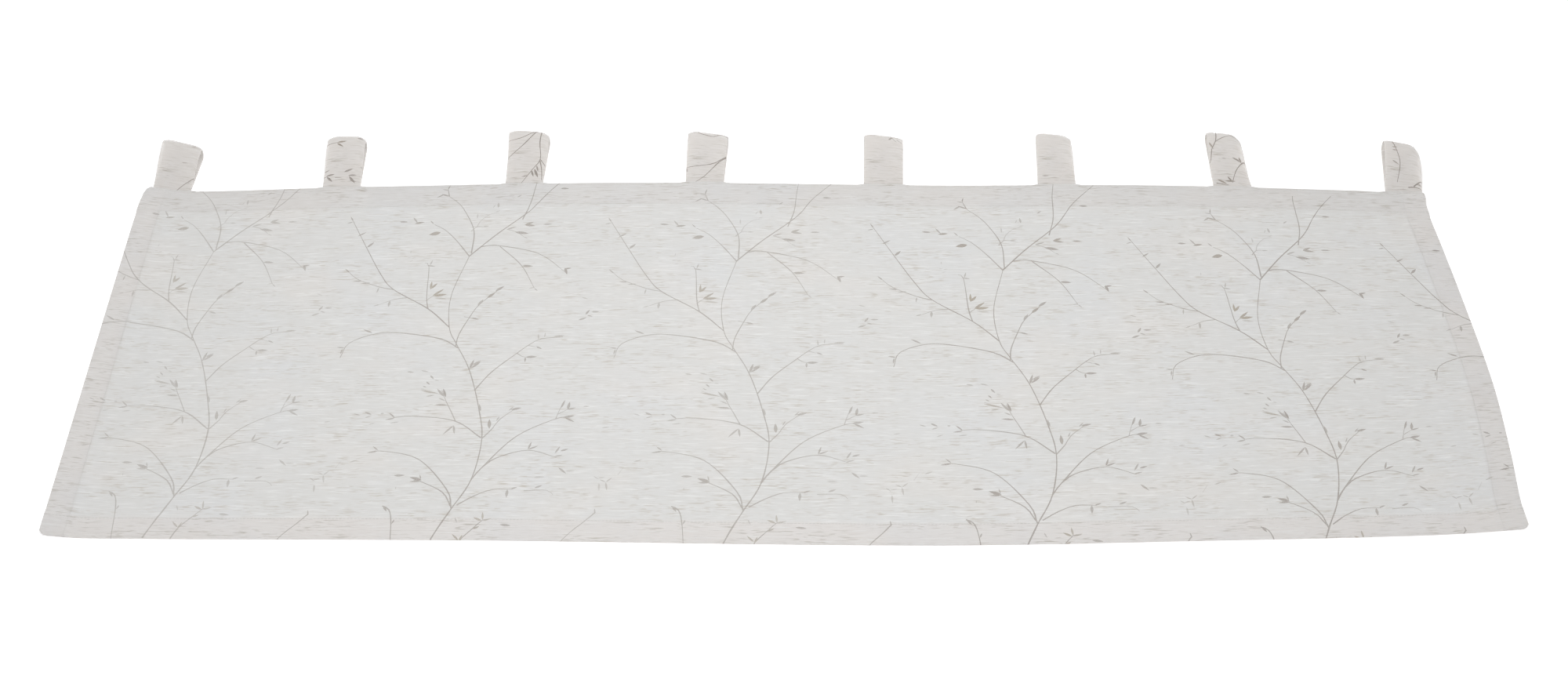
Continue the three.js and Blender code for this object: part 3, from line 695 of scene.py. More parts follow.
def smooth_line(points, step):
    """Places about one step apart on the smooth curve that runs through the points."""
    knots = np.array(points, float)
    first = 2 * knots[0] - knots[1]
    final = 2 * knots[-1] - knots[-2]
    knots = np.vstack([first, knots, final])
    line = []
    for a, b, c, d in zip(knots, knots[1:], knots[2:], knots[3:]):
        count = max(2, int(round(np.linalg.norm(c - b) / step)))
        t = np.arange(count)[:, None] / count
        line.append(0.5 * (2 * b + (c - a) * t + (2 * a - 5 * b + 4 * c - d) * t**2
                           + (3 * b - a - 3 * c + d) * t**3))
    return np.vstack([*line, knots[-2:-1]])


def stroke_outline(points, width):
    """The closed outline of a printed twig, which thins towards its end."""
    line = smooth_line(points, STROKE_STEP)
    along = np.gradient(line, axis=0)
    along /= np.linalg.norm(along, axis=1)[:, None]
    beside = np.column_stack([-along[:, 1], along[:, 0]])
    share = np.linspace(0, 1, len(line))
    half = TWIG_GROWTH * width / 2 * (1 - (1 - STROKE_END) * share)
    half *= 1 + 0.15 * np.sin(line.sum(axis=1))
    left = line + beside * half[:, None]
    right = line - beside * half[:, None]
    return np.vstack([right, left[::-1]])


def leaf_outline(leaf):
    """The closed outline of a printed leaf, pointed at both ends."""
    t = np.linspace(0, 1, LEAF_STEPS)
    long = LEAF_GROWTH * leaf.long
    half = long * leaf.broad / 2 * np.sin(math.pi * t**LEAF_BELLY)
    turn = math.radians(leaf.towards)
    out = np.array([math.cos(turn), math.sin(turn)])
    beside = np.array([-out[1], out[0]])
    middle = np.array([leaf.x, leaf.y]) + np.outer(t * long, out)
    left = (middle + np.outer(half, beside))[1:-1]
    right = middle - np.outer(half, beside)
    return np.vstack([right, left[::-1]])


Mark = namedtuple("Mark", "outline tone olive")


def panel_marks():
    """Every printed mark of the panel, on its flat cut."""
    marks = []
    for repeat in REPEATS:
        lies = np.array([[repeat.wide, repeat.slope], [repeat.lean, repeat.tall]])
        foot = np.array([repeat.across, repeat.up])
        for twig in TWIGS:
            points = np.array(twig.points) @ lies + foot
            marks.append(Mark(stroke_outline(points, twig.width), twig.tone * repeat.tone, 0.0))
        for leaf in LEAVES:
            outline = leaf_outline(leaf) @ lies + foot
            marks.append(Mark(outline, leaf.tone * repeat.tone, leaf.olive))
    return marks


def tab_marks(number, tab):
    """The printed marks of a tab, on its flat strip, where s runs back to the panel."""
    seam = tab_length(tab) - TAB_CAUGHT
    marks = []
    for twig in TAB_TWIGS.get(number, ()):
        points = np.array(twig.points, float)
        points[:, 1] = seam - points[:, 1]
        marks.append(Mark(stroke_outline(points, twig.width), twig.tone, 0.0))
    for leaf in TAB_LEAVES.get(number, ()):
        outline = leaf_outline(leaf)[::-1]
        outline[:, 1] = seam - outline[:, 1]
        marks.append(Mark(outline, leaf.tone, leaf.olive))
    return marks


# Sheets of cloth with the print cut into their faces

def spread(lines, step):
    """Sorted places with no two further apart than one step."""
    lines = sorted(set(round(float(line), 4) for line in lines))
    places = [lines[0]]
    for line in lines[1:]:
        parts = max(1, math.ceil((line - places[-1]) / step - 0.01))
        start = places[-1]
        places.extend(start + (line - start) * k / parts for k in range(1, parts + 1))
    return places


def fold_lines(edge, inwards):
    """Places across a fold, close enough to keep it round."""
    round_part = np.linspace(-HALF_TURN, HALF_TURN, 7) - FOLD_SLACK
    return [edge + inwards * place for place in round_part]


# How the cloth is cut: only inside its rim, with places nearer than this made one
INSIDE_ONLY = 1
SAME_PLACE = 1e-4


def cut_cloth(columns, rows, firm_columns, firm_rows, marks):
    """Triangles of a flat rectangle of cloth, cut along its folds and along the print.

    Gives the places, the triangles, and each triangle's tone and how olive it is."""
    points = [Vector((u, v)) for v in rows for u in columns]
    wide, tall = len(columns), len(rows)
    rim = list(range(wide))
    rim += [j * wide + wide - 1 for j in range(1, tall)]
    rim += [(tall - 1) * wide + i for i in range(wide - 2, -1, -1)]
    rim += [j * wide for j in range(tall - 2, 0, -1)]
    firm = {round(float(line), 4) for line in firm_columns}
    edges = [(j * wide + i, (j + 1) * wide + i)
             for i, u in enumerate(columns) if round(u, 4) in firm for j in range(tall - 1)]
    firm = {round(float(line), 4) for line in firm_rows}
    edges += [(j * wide + i, j * wide + i + 1)
              for j, v in enumerate(rows) if round(v, 4) in firm for i in range(wide - 1)]
    faces = [rim]
    low = np.array([columns[0], rows[0]])
    high = np.array([columns[-1], rows[-1]])
    printed = []
    for mark in marks:
        if (mark.outline.max(axis=0) < low).any() or (mark.outline.min(axis=0) > high).any():
            continue
        start = len(points)
        points.extend(Vector(place) for place in mark.outline)
        faces.append(list(range(start, len(points))))
        printed.append(mark)
    places, _, triangles, _, _, sources = delaunay_2d_cdt(
        points, edges, faces, INSIDE_ONLY, SAME_PLACE)
    tone = [0.0] + [mark.tone for mark in printed]
    olive = [0.0] + [mark.olive * mark.tone for mark in printed]
    kept = [k for k, source in enumerate(sources) if 0 in source]
    places = np.array([place[:] for place in places])
    triangles = np.array([triangles[k] for k in kept])
    tones = np.array([max(tone[f] for f in sources[k]) for k in kept])
    olives = np.array([max(olive[f] for f in sources[k]) for k in kept])
    a, b, c = (places[triangles[:, k]] for k in range(3))
    ab, ac = b - a, c - a
    turned = ab[:, 0] * ac[:, 1] - ab[:, 1] * ac[:, 0] < 0
    triangles[turned] = triangles[turned][:, ::-1]
    used, triangles = np.unique(triangles, return_inverse=True)
    return places[used], triangles.reshape(-1, 3), tones, olives


# How far away, in mm, the cloth's direction is measured
NEARBY = 0.02


def normals_of(lie, places):
    """The cloth's own direction at each place, from how its lie changes nearby."""
    u, v = places.T
    across = lie(u + NEARBY, v) - lie(u - NEARBY, v)
    along = lie(u, v + NEARBY) - lie(u, v - NEARBY)
    normals = np.cross(across, along)
    return normals / np.maximum(np.linalg.norm(normals, axis=1), 1e-12)[:, None]


def mesh_object(name, points, faces, material):
    """A new smooth mesh object at the origin, from points in mm."""
    mesh = bpy.data.meshes.new(name)
    mesh.from_pydata((points * MM).tolist(), [], faces)
    mesh.polygons.foreach_set("use_smooth", [True] * len(mesh.polygons))
    mesh.materials.append(material)
    made = bpy.data.objects.new(name, mesh)
    bpy.context.scene.collection.objects.link(made)
    return made


def cloth_object(name, cut, lie, thickness, doubled, show_through, material, inside_out=False):
    """A closed sheet from a cut cloth: its face, its back and the narrow rim between."""
    places, triangles, tones, olives = cut
    middle = lie(*places.T)
    normals = normals_of(lie, places)
    if inside_out:
        normals = -normals
        triangles = triangles[:, ::-1]
    half = np.broadcast_to(thickness(*places.T), len(places))[:, None] / 2
    points = np.vstack([middle + normals * half, middle - normals * half])
    count = len(places)
    sides = np.vstack([triangles[:, [0, 1]], triangles[:, [1, 2]], triangles[:, [2, 0]]])
    keys = np.sort(sides, axis=1) @ np.array([count, 1])
    _, first, uses = np.unique(keys, return_index=True, return_counts=True)
    rim = sides[first[uses == 1]]
    rim_faces = np.column_stack([rim[:, 0] + count, rim[:, 1] + count, rim[:, 1], rim[:, 0]])
    faces = triangles.tolist() + (triangles[:, ::-1] + count).tolist() + rim_faces.tolist()
    made = mesh_object(name, points, faces, material)
    rim_zeros = np.zeros(len(rim))
    for label, values in (("ink", tones), ("olive", olives)):
        layer = made.data.attributes.new(label, "FLOAT", "FACE")
        layer.data.foreach_set("value", np.concatenate([values, values * show_through, rim_zeros]))
    layer = made.data.attributes.new("doubled", "FLOAT", "POINT")
    layer.data.foreach_set("value", np.tile(doubled(*places.T), 2))
    corners = np.zeros(len(made.data.loops), int)
    made.data.loops.foreach_get("vertex_index", corners)
    flat = made.data.uv_layers.new(name="cloth")
    flat.uv.foreach_set("vector", (places[corners % count] * MM).ravel())
    return made


def settle_piece(made, *nodes):
    """Ties a finished piece to the frame: its body and what it stands for."""
    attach(made, BODY)
    if nodes:
        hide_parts(*nodes)


# Shader nodes from Python expressions

class Number:
    """A shader value that plain arithmetic works on."""

    def __init__(self, shader, socket):
        self.shader = shader
        self.socket = socket

    def with_other(self, operation, first, second):
        """The value of this operation on two values."""
        node = self.shader.node("ShaderNodeMath", {"operation": operation}, {0: first, 1: second})
        return Number(self.shader, node.outputs[0])

    def __add__(self, other):
        return self.with_other("ADD", self, other)

    def __sub__(self, other):
        return self.with_other("SUBTRACT", self, other)

    def __rsub__(self, other):
        return self.with_other("SUBTRACT", other, self)

    def __mul__(self, other):
        return self.with_other("MULTIPLY", self, other)

    __radd__ = __add__
    __rmul__ = __mul__


class Shader:
    """A material under construction, with one way of adding any node."""

    def __init__(self, name):
        self.material = bpy.data.materials.new(name)
        self.material.use_nodes = True
        self.tree = self.material.node_tree
        self.tree.nodes.clear()
        self.surface = self.node("ShaderNodeBsdfPrincipled")
        output = self.node("ShaderNodeOutputMaterial")
        self.tree.links.new(self.surface.outputs[0], output.inputs["Surface"])

    def node(self, kind, settings=None, values=None):
        """A node of this kind, its settings first and then the values or links of its sockets."""
        node = self.tree.nodes.new(kind)
        for name, value in (settings or {}).items():
            setattr(node, name, value)
        for name, value in (values or {}).items():
            self.put(node.inputs[name], value)
        return node

    def put(self, socket, value):
        """Gives a socket a plain value or a link."""
        if isinstance(value, Number):
            value = value.socket
        if isinstance(value, bpy.types.NodeSocket):
            self.tree.links.new(value, socket)
        else:
            socket.default_value = value

    def attribute(self, name):
        """A value that the mesh holds under this name."""
        node = self.node("ShaderNodeAttribute",
                         {"attribute_type": "GEOMETRY", "attribute_name": name})
        return Number(self, node.outputs["Fac"])

    def noise(self, place, across, along, start=(0.0, 0.0), detail=2.0):
        """Noise over a flat place, with its own count to a metre across and along."""
        at = self.node("ShaderNodeMapping", {"vector_type": "POINT"},
                       {"Vector": place, "Scale": (across, along, 1.0),
                        "Location": (*start, 0.0)})
        made = self.node("ShaderNodeTexNoise", {"noise_dimensions": "2D"},
                         {"Vector": at.outputs[0], "Scale": 1.0, "Detail": detail,
                          "Roughness": 0.5})
        return Number(self, made.outputs[0])

    def uneven(self, place, kind):
        """1 in the uneven places of this kind and 0 between them."""
        level = self.noise(place, kind.across, kind.along, kind.start, kind.detail)
        return self.above(level, kind.begins, kind.full)

    def above(self, value, low, high):
        """0 below low and 1 above high, with a straight rise between."""
        made = self.node("ShaderNodeMapRange", {"clamp": True},
                         {"Value": value, "From Min": low, "From Max": high})
        return Number(self, made.outputs[0])

    def mix(self, share, first, second):
        """The first colour with this share of the second over it."""
        node = self.node("ShaderNodeMix", {"data_type": "RGBA", "clamp_factor": True},
                         {0: share, 6: first, 7: second})
        return node.outputs[2]


def colour_of(value):
    """A colour as a socket takes it."""
    return (*value, 1.0)


# The cloth's uneven places: how many there are to a metre across and along the weave,
# where the pattern starts, how fine it is, and the levels where a place begins and is full
Uneven = namedtuple("Uneven", "across along start detail begins full")
WARM_PATCH = Uneven(9, 14, (0.3, 0.7), 2.0, 0.5, 0.75)
COOL_PATCH = Uneven(11, 9, (5.2, 3.1), 2.0, 0.5, 0.75)
LIGHT_SLUB = Uneven(70, 620, (1.7, 4.2), 1.0, 0.58, 0.74)
LONG_LIGHT_SLUB = Uneven(30, 430, (3.3, 8.9), 1.0, 0.58, 0.76)
DARK_SLUB = Uneven(85, 640, (7.7, 2.8), 1.0, 0.59, 0.72)
LONG_DARK_SLUB = Uneven(42, 480, (2.9, 5.5), 1.0, 0.61, 0.73)
SLUBBY_STRETCH = Uneven(16, 60, (4.4, 1.9), 1.0, 0.42, 0.62)

# What they do to the yarn's colour, as a colour and its strongest share
WARM_TINT = (0.80, 0.74, 0.69, 1.0)
WARM_SHARE = 0.22
COOL_TINT = (0.70, 0.73, 0.78, 1.0)
COOL_SHARE = 0.18
LIGHT_TINT = (0.95, 0.955, 0.95, 1.0)
LIGHT_SHARE = 0.26
DARK_TINT = (0.56, 0.525, 0.48, 1.0)
DARK_SHARE = 0.46
PRINT_SHARE = 0.94

# Threads to a metre in the relief of the weave, and how deep that relief is
WEAVE_FINE = 2300
WEAVE_LONG = 60
WEAVE_DEPTH = 0.00012
TWIST_FINE = 3200
TWIST_DEPTH = 0.00008


def cloth_material(name, cloth, opacity=None):
    """Slubby plain-weave cloth with uneven yarns, the print, and a tone for two layers."""
    shader = Shader(name)
    flat = shader.node("ShaderNodeUVMap", {"uv_map": "cloth"}).outputs[0]
    doubled = shader.attribute("doubled")
    ink = shader.attribute("ink")
    olive = shader.attribute("olive")
    base = shader.mix(doubled, colour_of(cloth.yarn_colour), colour_of(cloth.double_colour))
    base = shader.mix(shader.above(doubled, 1.2, 1.8), base, colour_of(cloth.tab_colour))
    base = shader.mix(shader.uneven(flat, WARM_PATCH) * WARM_SHARE, base, WARM_TINT)
    base = shader.mix(shader.uneven(flat, COOL_PATCH) * COOL_SHARE, base, COOL_TINT)
    # Long thin slubs of the weft, some lighter and some darker than the yarn round them
    light = shader.uneven(flat, LIGHT_SLUB) * 0.6 + shader.uneven(flat, LONG_LIGHT_SLUB)
    dark = shader.uneven(flat, DARK_SLUB) + shader.uneven(flat, LONG_DARK_SLUB)
    where = 0.35 + shader.uneven(flat, SLUBBY_STRETCH)
    base = shader.mix(light * LIGHT_SHARE * cloth.slub, base, LIGHT_TINT)
    base = shader.mix(dark * where * DARK_SHARE * cloth.slub, base, DARK_TINT)
    # The print lies on the raised yarns, so it breaks up a little over the weave
    grain = shader.noise(flat, 900, 1300, detail=0.0)
    dry = 0.72 + 0.5 * grain
    inked = shader.mix(shader.above(olive, 0.0, 1.0), colour_of(cloth.ink_colour),
                       colour_of(cloth.leaf_colour))
    coloured = shader.mix(ink * dry * PRINT_SHARE, base, inked)
    shader.put(shader.surface.inputs["Base Color"], coloured)
    shader.put(shader.surface.inputs["Alpha"], opacity or cloth.opacity)
    rough = 0.86 - 0.10 * light + 0.05 * grain
    shader.put(shader.surface.inputs["Roughness"], rough)
    shader.put(shader.surface.inputs["Subsurface Weight"], cloth.glow_through)
    shader.put(shader.surface.inputs["Subsurface Radius"], (1.0, 0.98, 0.95))
    shader.put(shader.surface.inputs["Subsurface Scale"], 1.5 * MM)
    shader.put(shader.surface.inputs["Specular IOR Level"], 0.25)
    shader.put(shader.surface.inputs["Sheen Weight"], 0.08)
    shader.put(shader.surface.inputs["Sheen Roughness"], 0.5)
    # Relief of the weave: fine warp threads, and weft yarns of uneven thickness
    warp = shader.noise(flat, WEAVE_FINE, WEAVE_LONG, (0.4, 0.2), detail=0.0)
    weft = shader.noise(flat, WEAVE_LONG, WEAVE_FINE, (2.4, 6.1), detail=0.0)
    height = 0.5 * warp + 0.7 * weft + 0.5 * light - 0.2 * dark
    bump = shader.node("ShaderNodeBump", {}, {"Strength": 0.35, "Distance": WEAVE_DEPTH,
                                             "Height": height})
    shader.put(shader.surface.inputs["Normal"], bump.outputs[0])
    return shader.material


def tab_material(name, cloth):
    """The same cloth for the tabs, where more light passes into the loops."""
    return cloth_material(name, cloth, cloth.tab_opacity)


def thread_material(name, stitch):
    """Spun sewing thread, slightly uneven in tone and twist."""
    shader = Shader(name)
    place = shader.node("ShaderNodeTexCoord").outputs["Object"]
    uneven = shader.noise(place, 900, 900)
    pale = [min(1.0, 1.12 * part) for part in stitch.colour]
    base = shader.mix(uneven, colour_of(stitch.colour), colour_of(pale))
    shader.put(shader.surface.inputs["Base Color"], base)
    shader.put(shader.surface.inputs["Roughness"], 0.55 + 0.2 * uneven)
    twist = shader.noise(place, TWIST_FINE, TWIST_FINE, detail=0.0)
    bump = shader.node("ShaderNodeBump", {}, {"Strength": 0.4, "Distance": TWIST_DEPTH,
                                             "Height": twist})
    shader.put(shader.surface.inputs["Normal"], bump.outputs[0])
    return shader.material


def named_material(name, make, settings):
    """The material of that name, made the first time it is wanted."""
    return bpy.data.materials.get(name) or make(name, settings)


# Operators, one for each piece or group of like pieces

# Sizes and places in metres, and the camera's sensor in millimetres
FLOOR_SIZE = 40.0
SENSOR_WIDTH = 36.0
LIGHT_PLACE = (-0.07, -0.05, 1.25)
LIGHT_SIZE = (0.9, 0.5)
LIGHT_COLOUR = (1.0, 0.998, 0.99)


class CURTAIN_OT_stage(bpy.types.Operator):
    """Make the floor, the soft light and the camera"""

    bl_idname = "curtain.stage"
    bl_label = "Stage"

    def execute(self, context):
        stage = context.scene.curtain_stage
        self.make_floor(stage)
        self.make_light(context, stage)
        self.make_camera(context, stage)
        return {"FINISHED"}

    def make_floor(self, stage):
        """A wide pale floor that stays white out to the picture's corners."""
        shader = Shader("pale_floor")
        place = shader.node("ShaderNodeTexCoord").outputs["Object"]
        uneven = shader.noise(place, 3, 3)
        darker = [0.99 * part for part in stage.floor_colour]
        colour = shader.mix(uneven, colour_of(stage.floor_colour), colour_of(darker))
        shader.put(shader.surface.inputs["Base Color"], colour)
        shader.put(shader.surface.inputs["Roughness"], 0.8)
        shader.put(shader.surface.inputs["Emission Color"], colour_of((1.0, 1.0, 1.0)))
        shader.put(shader.surface.inputs["Emission Strength"], stage.floor_glow)
        half = FLOOR_SIZE / 2 / MM
        corners = np.array([(-half, -half, 0), (half, -half, 0), (half, half, 0), (-half, half, 0)])
        floor = mesh_object("floor", corners, [(0, 1, 2, 3)], shader.material)

    def make_light(self, context, stage):
        """Even light from all round, and one large soft light overhead."""
        scene = context.scene
        scene.view_settings.view_transform = "Standard"
        world = bpy.data.worlds.new("surroundings")
        world.use_nodes = True
        sky = world.node_tree.nodes["Background"]
        sky.inputs["Color"].default_value = (1.0, 1.0, 1.0, 1.0)
        sky.inputs["Strength"].default_value = stage.sky_strength
        scene.world = world
        data = bpy.data.lights.new("overhead_light", "AREA")
        data.shape = "RECTANGLE"
        data.size, data.size_y = LIGHT_SIZE
        data.energy = stage.key_energy
        data.color = LIGHT_COLOUR
        lamp = bpy.data.objects.new("overhead_light", data)
        lamp.location = LIGHT_PLACE
        down = Vector((0.0, 0.0, -1.0))
        lamp.rotation_euler = down.to_track_quat("-Z", "Y").to_euler()
        lamp.visible_camera = False
        scene.collection.objects.link(lamp)

    def make_camera(self, context, stage):
        """The camera of the photo, which looks down over the curtain's lower edge."""
        data = bpy.data.cameras.new("camera")
        data.sensor_width = SENSOR_WIDTH
        data.lens = stage.lens
        camera = bpy.data.objects.new("camera", data)
        camera.location = (SHIFT_X * MM, -stage.camera_back, stage.camera_height)
        camera.rotation_euler = (math.pi / 2 - stage.camera_down, 0.0, 0.0)
        context.scene.collection.objects.link(camera)
        context.scene.camera = camera


# How dense the side hems and the heading look beside the bottom hem, how far inside their
# edges that tone starts to fade, and over how far it fades
SIDE_DENSE = 0.9
HEADING_DENSE = 0.55
SIDE_STARTS = 3.0
SIDE_FADE = 3.5
END_STARTS = 1.5
END_FADE = 2.0

# Rows of the mesh that follow a hem's puff on its front and lie evenly on its back
PUFF_LINES = (5, 12)
BACK_LINES = (9, 18)
TOP_PUFF_LINE = 3


class CURTAIN_OT_panel(bpy.types.Operator):
    """Make the printed panel with its turned side, bottom and top edges"""

    bl_idname = "curtain.panel"
    bl_label = "Panel"

    def execute(self, context):
        cloth = context.scene.curtain_cloth
        lie = Lie(cloth)
        half = PANEL_WIDTH / 2
        side_cut = half + SIDE_HEM
        firm_columns = []
        for side in (-1, 1):
            firm_columns += fold_lines(side * half, -side)
            hem_lines = (*PUFF_LINES, SIDE_HEM - STITCH_IN, SIDE_HEM, SIDE_HEM + HEM_STEP)
            firm_columns += [side * (half - inset) for inset in hem_lines]
            firm_columns += [side * (half + out) for out in (*BACK_LINES, SIDE_HEM)]
        soft_columns = []
        for tab in TABS:
            for edge, out in ((tab.left - TAB_ROOM, -1), (tab.right + TAB_ROOM, 1)):
                soft_columns += [edge, edge + out * STEP_DOWN / 2, edge + out * STEP_DOWN]
        top = PANEL_HEIGHT
        firm_rows = fold_lines(0, 1) + fold_lines(top, -1)
        firm_rows += [-BOTTOM_HEM, -BOTTOM_HEM / 2, *PUFF_LINES, BOTTOM_HEM - STITCH_IN,
                      BOTTOM_HEM, BOTTOM_HEM + HEM_STEP]
        tongues = top - TAB_CAUGHT - TAB_ROOM
        heading = top - HEADING
        firm_rows += [top + TOP_TURN, top + TOP_TURN / 2, top - TOP_PUFF_LINE, top - TOP_TURN,
                      top - TOP_TURN - HEM_STEP, tongues - STEP_DOWN / 2, tongues - STEP_DOWN,
                      heading, heading + STITCH_IN, heading - STEP_DOWN / 2,
                      heading - STEP_DOWN]
        inside = [line for line in soft_columns if abs(line) < half - 0.5]
        step = cloth.mesh_step / MM
        columns = spread(firm_columns + inside + [-side_cut, side_cut], step)
        rows = spread(firm_rows, step)
        cut = cut_cloth(columns, rows, firm_columns, firm_rows, panel_marks())
        made = cloth_object("curtain_panel", cut, lie.panel, lambda u, v: lie.thick,
                            self.doubled, cloth.show_through,
                            named_material("printed_slub_cloth", cloth_material, cloth))
        settle_piece(made, "panel")
        return {"FINISHED"}

    @staticmethod
    def doubled(u, v):
        """1 where a second layer lies under the cloth, less where the photo shows less."""
        inset = PANEL_WIDTH / 2 - np.abs(u)
        side = SIDE_DENSE * plateau(inset, -np.inf, SIDE_HEM - SIDE_STARTS, SIDE_FADE)
        low = plateau(v, -np.inf, BOTTOM_HEM - END_STARTS, END_FADE)
        heading = PANEL_HEIGHT - HEADING + END_STARTS
        top = HEADING_DENSE * plateau(v, heading, np.inf, END_FADE)
        return np.maximum(np.maximum(side, low), top)


# Where the facing was cut from, beside the panel, on the same printed cloth
FACING_CUT_ACROSS = 90.0
FACING_CUT_UP = 230.0


class CURTAIN_OT_facing(bpy.types.Operator):
    """Make the strip behind the panel's top edge"""

    bl_idname = "curtain.facing"
    bl_label = "Heading facing"

    def execute(self, context):
        cloth = context.scene.curtain_cloth
        lie = Lie(cloth)
        half = PANEL_WIDTH / 2 - FACING_INSET
        tall = HEADING - 1.5 * FACING_INSET
        firm_columns = []
        for side in (-1, 1):
            firm_columns += fold_lines(side * half, -side)
            firm_columns += [side * (half - FACING_TURN), side * (half - FACING_TURN - HEM_STEP),
                             side * (half + FACING_TURN)]
        firm_rows = fold_lines(0, 1) + fold_lines(tall, -1)
        firm_rows += [-FACING_TURN, FACING_TURN, FACING_TURN + HEM_STEP, tall - FACING_TURN,
                      tall - FACING_TURN - HEM_STEP, tall + FACING_TURN]
        columns = spread(firm_columns, cloth.mesh_step / MM)
        rows = spread(firm_rows, cloth.mesh_step / MM)
        cut = cut_cloth(columns, rows, firm_columns, firm_rows, self.marks())
        made = cloth_object("heading_facing_strip", cut, lie.facing, lambda u, v: lie.thick,
                            lambda u, v: np.ones_like(u), cloth.show_through,
                            named_material("printed_slub_cloth", cloth_material, cloth))
        settle_piece(made, "heading_facing")
        return {"FINISHED"}

    @staticmethod
    def marks():
        """The print on the strip, which was cut from another height of the same cloth."""
        lift = np.array([FACING_CUT_ACROSS, -FACING_CUT_UP])
        return [Mark(mark.outline + lift, mark.tone, mark.olive) for mark in panel_marks()]


# The size of the faces on a tab, the rows that keep its rounded sides and its fold
# smooth, and the mark that gives it its own tone
TAB_STEP = 4.0
TAB_SIDE_LINES = (0, 0.06, 0.2, EDGE_RADIUS, 1.5)
FOLD_ROWS = 37
FOLD_SPAN = 14.0
TAB_TONE = 2.0


class CURTAIN_OT_tabs(bpy.types.Operator):
    """Make the eight tab loops, each a double strip folded in half"""

    bl_idname = "curtain.tabs"
    bl_label = "Tab loops"

    def execute(self, context):
        cloth = context.scene.curtain_cloth
        lie = Lie(cloth)
        for number, tab in enumerate(TABS, 1):
            wide = tab.right - tab.left
            long = tab_length(tab)
            firm_columns = [line for side in TAB_SIDE_LINES for line in (side, wide - side)]
            reach = (tab.reach_left + tab.reach_right) / 2 - FOLD_DEPTH + TAB_CAUGHT
            fold_rows = np.linspace(reach - FOLD_SPAN, long - reach + FOLD_SPAN, FOLD_ROWS)
            firm_rows = [0, TAB_CAUGHT, long - TAB_CAUGHT, long]
            columns = spread(firm_columns, TAB_STEP)
            rows = spread([*firm_rows, *fold_rows], TAB_STEP)
            cut = cut_cloth(columns, rows, firm_columns, firm_rows, tab_marks(number, tab))
            made = cloth_object(
                f"tab_loop_{number}", cut,
                lambda a, s, tab=tab: lie.tab(tab, a, s),
                lambda a, s, tab=tab: lie.tab_thickness(tab, a, s),
                lambda a, s: np.full_like(a, TAB_TONE), cloth.show_through,
                named_material("loop_slub_cloth", tab_material, cloth), inside_out=True)
            settle_piece(made, f"tab_{number}")
            wide * MM
            long * MM
        return {"FINISHED"}


# How far apart the places of a seam line are, and how far from the cloth's edge it ends
SEAM_STEP = 3.0
SEAM_END = 2.0


class CURTAIN_OT_stitches(bpy.types.Operator):
    """Sew the hems and the heading with rows of machine stitches"""

    bl_idname = "curtain.stitches"
    bl_label = "Stitches"

    def execute(self, context):
        stitch = context.scene.curtain_stitch
        lie = Lie(context.scene.curtain_cloth)
        half = PANEL_WIDTH / 2
        side = half - SIDE_HEM + STITCH_IN
        low = BOTTOM_HEM - STITCH_IN
        top = PANEL_HEIGHT - TOP_STITCH_IN
        heading = PANEL_HEIGHT - HEADING + STITCH_IN
        seams = (
            ((-side, SEAM_END), (-side, PANEL_HEIGHT - SEAM_END)),
            ((side, SEAM_END), (side, PANEL_HEIGHT - SEAM_END)),
            ((SEAM_END - half, low), (half - SEAM_END, low)),
            ((SEAM_END - half, top), (half - SEAM_END, top)),
            ((SEAM_END - half, heading), (half - SEAM_END, heading)),
        )
        curve = bpy.data.curves.new("seam_lines", "CURVE")
        curve.dimensions = "3D"
        for start, end in seams:
            self.add_seam(curve, lie, np.array(start), np.array(end))
        lines = bpy.data.objects.new("seam_lines", curve)
        context.scene.collection.objects.link(lines)
        modifier = lines.modifiers.new("Stitches", "NODES")
        modifier.node_group = stitch_tree()
        settings = {"Stitch Length": stitch.length, "Gap": stitch.gap, "Thread": stitch.thread,
                    "Seed": stitch.seed,
                    "Material": named_material("sewing_thread", thread_material, stitch)}
        for item in modifier.node_group.interface.items_tree:
            if item.name in settings:
                modifier[item.identifier] = settings[item.name]
        seen = lines.evaluated_get(context.evaluated_depsgraph_get())
        mesh = bpy.data.meshes.new_from_object(seen)
        if not mesh.polygons:
            raise RuntimeError("the seams gave no stitches")
        made = bpy.data.objects.new("machine_stitches", mesh)
        context.scene.collection.objects.link(made)
        bpy.data.objects.remove(lines)
        settle_piece(made)
        return {"FINISHED"}

    @staticmethod
    def add_seam(curve, lie, start, end):
        """A line on the face of the panel from one place to another."""
        count = int(np.linalg.norm(end - start) / SEAM_STEP) + 1
        places = start + np.linspace(0, 1, count)[:, None] * (end - start)
        face = lie.panel(*places.T) + normals_of(lie.panel, places) * (lie.thick / 2)
        spline = curve.splines.new("POLY")
        spline.points.add(count - 1)
        spline.points.foreach_set("co", np.column_stack([face * MM, np.ones(count)]).ravel())


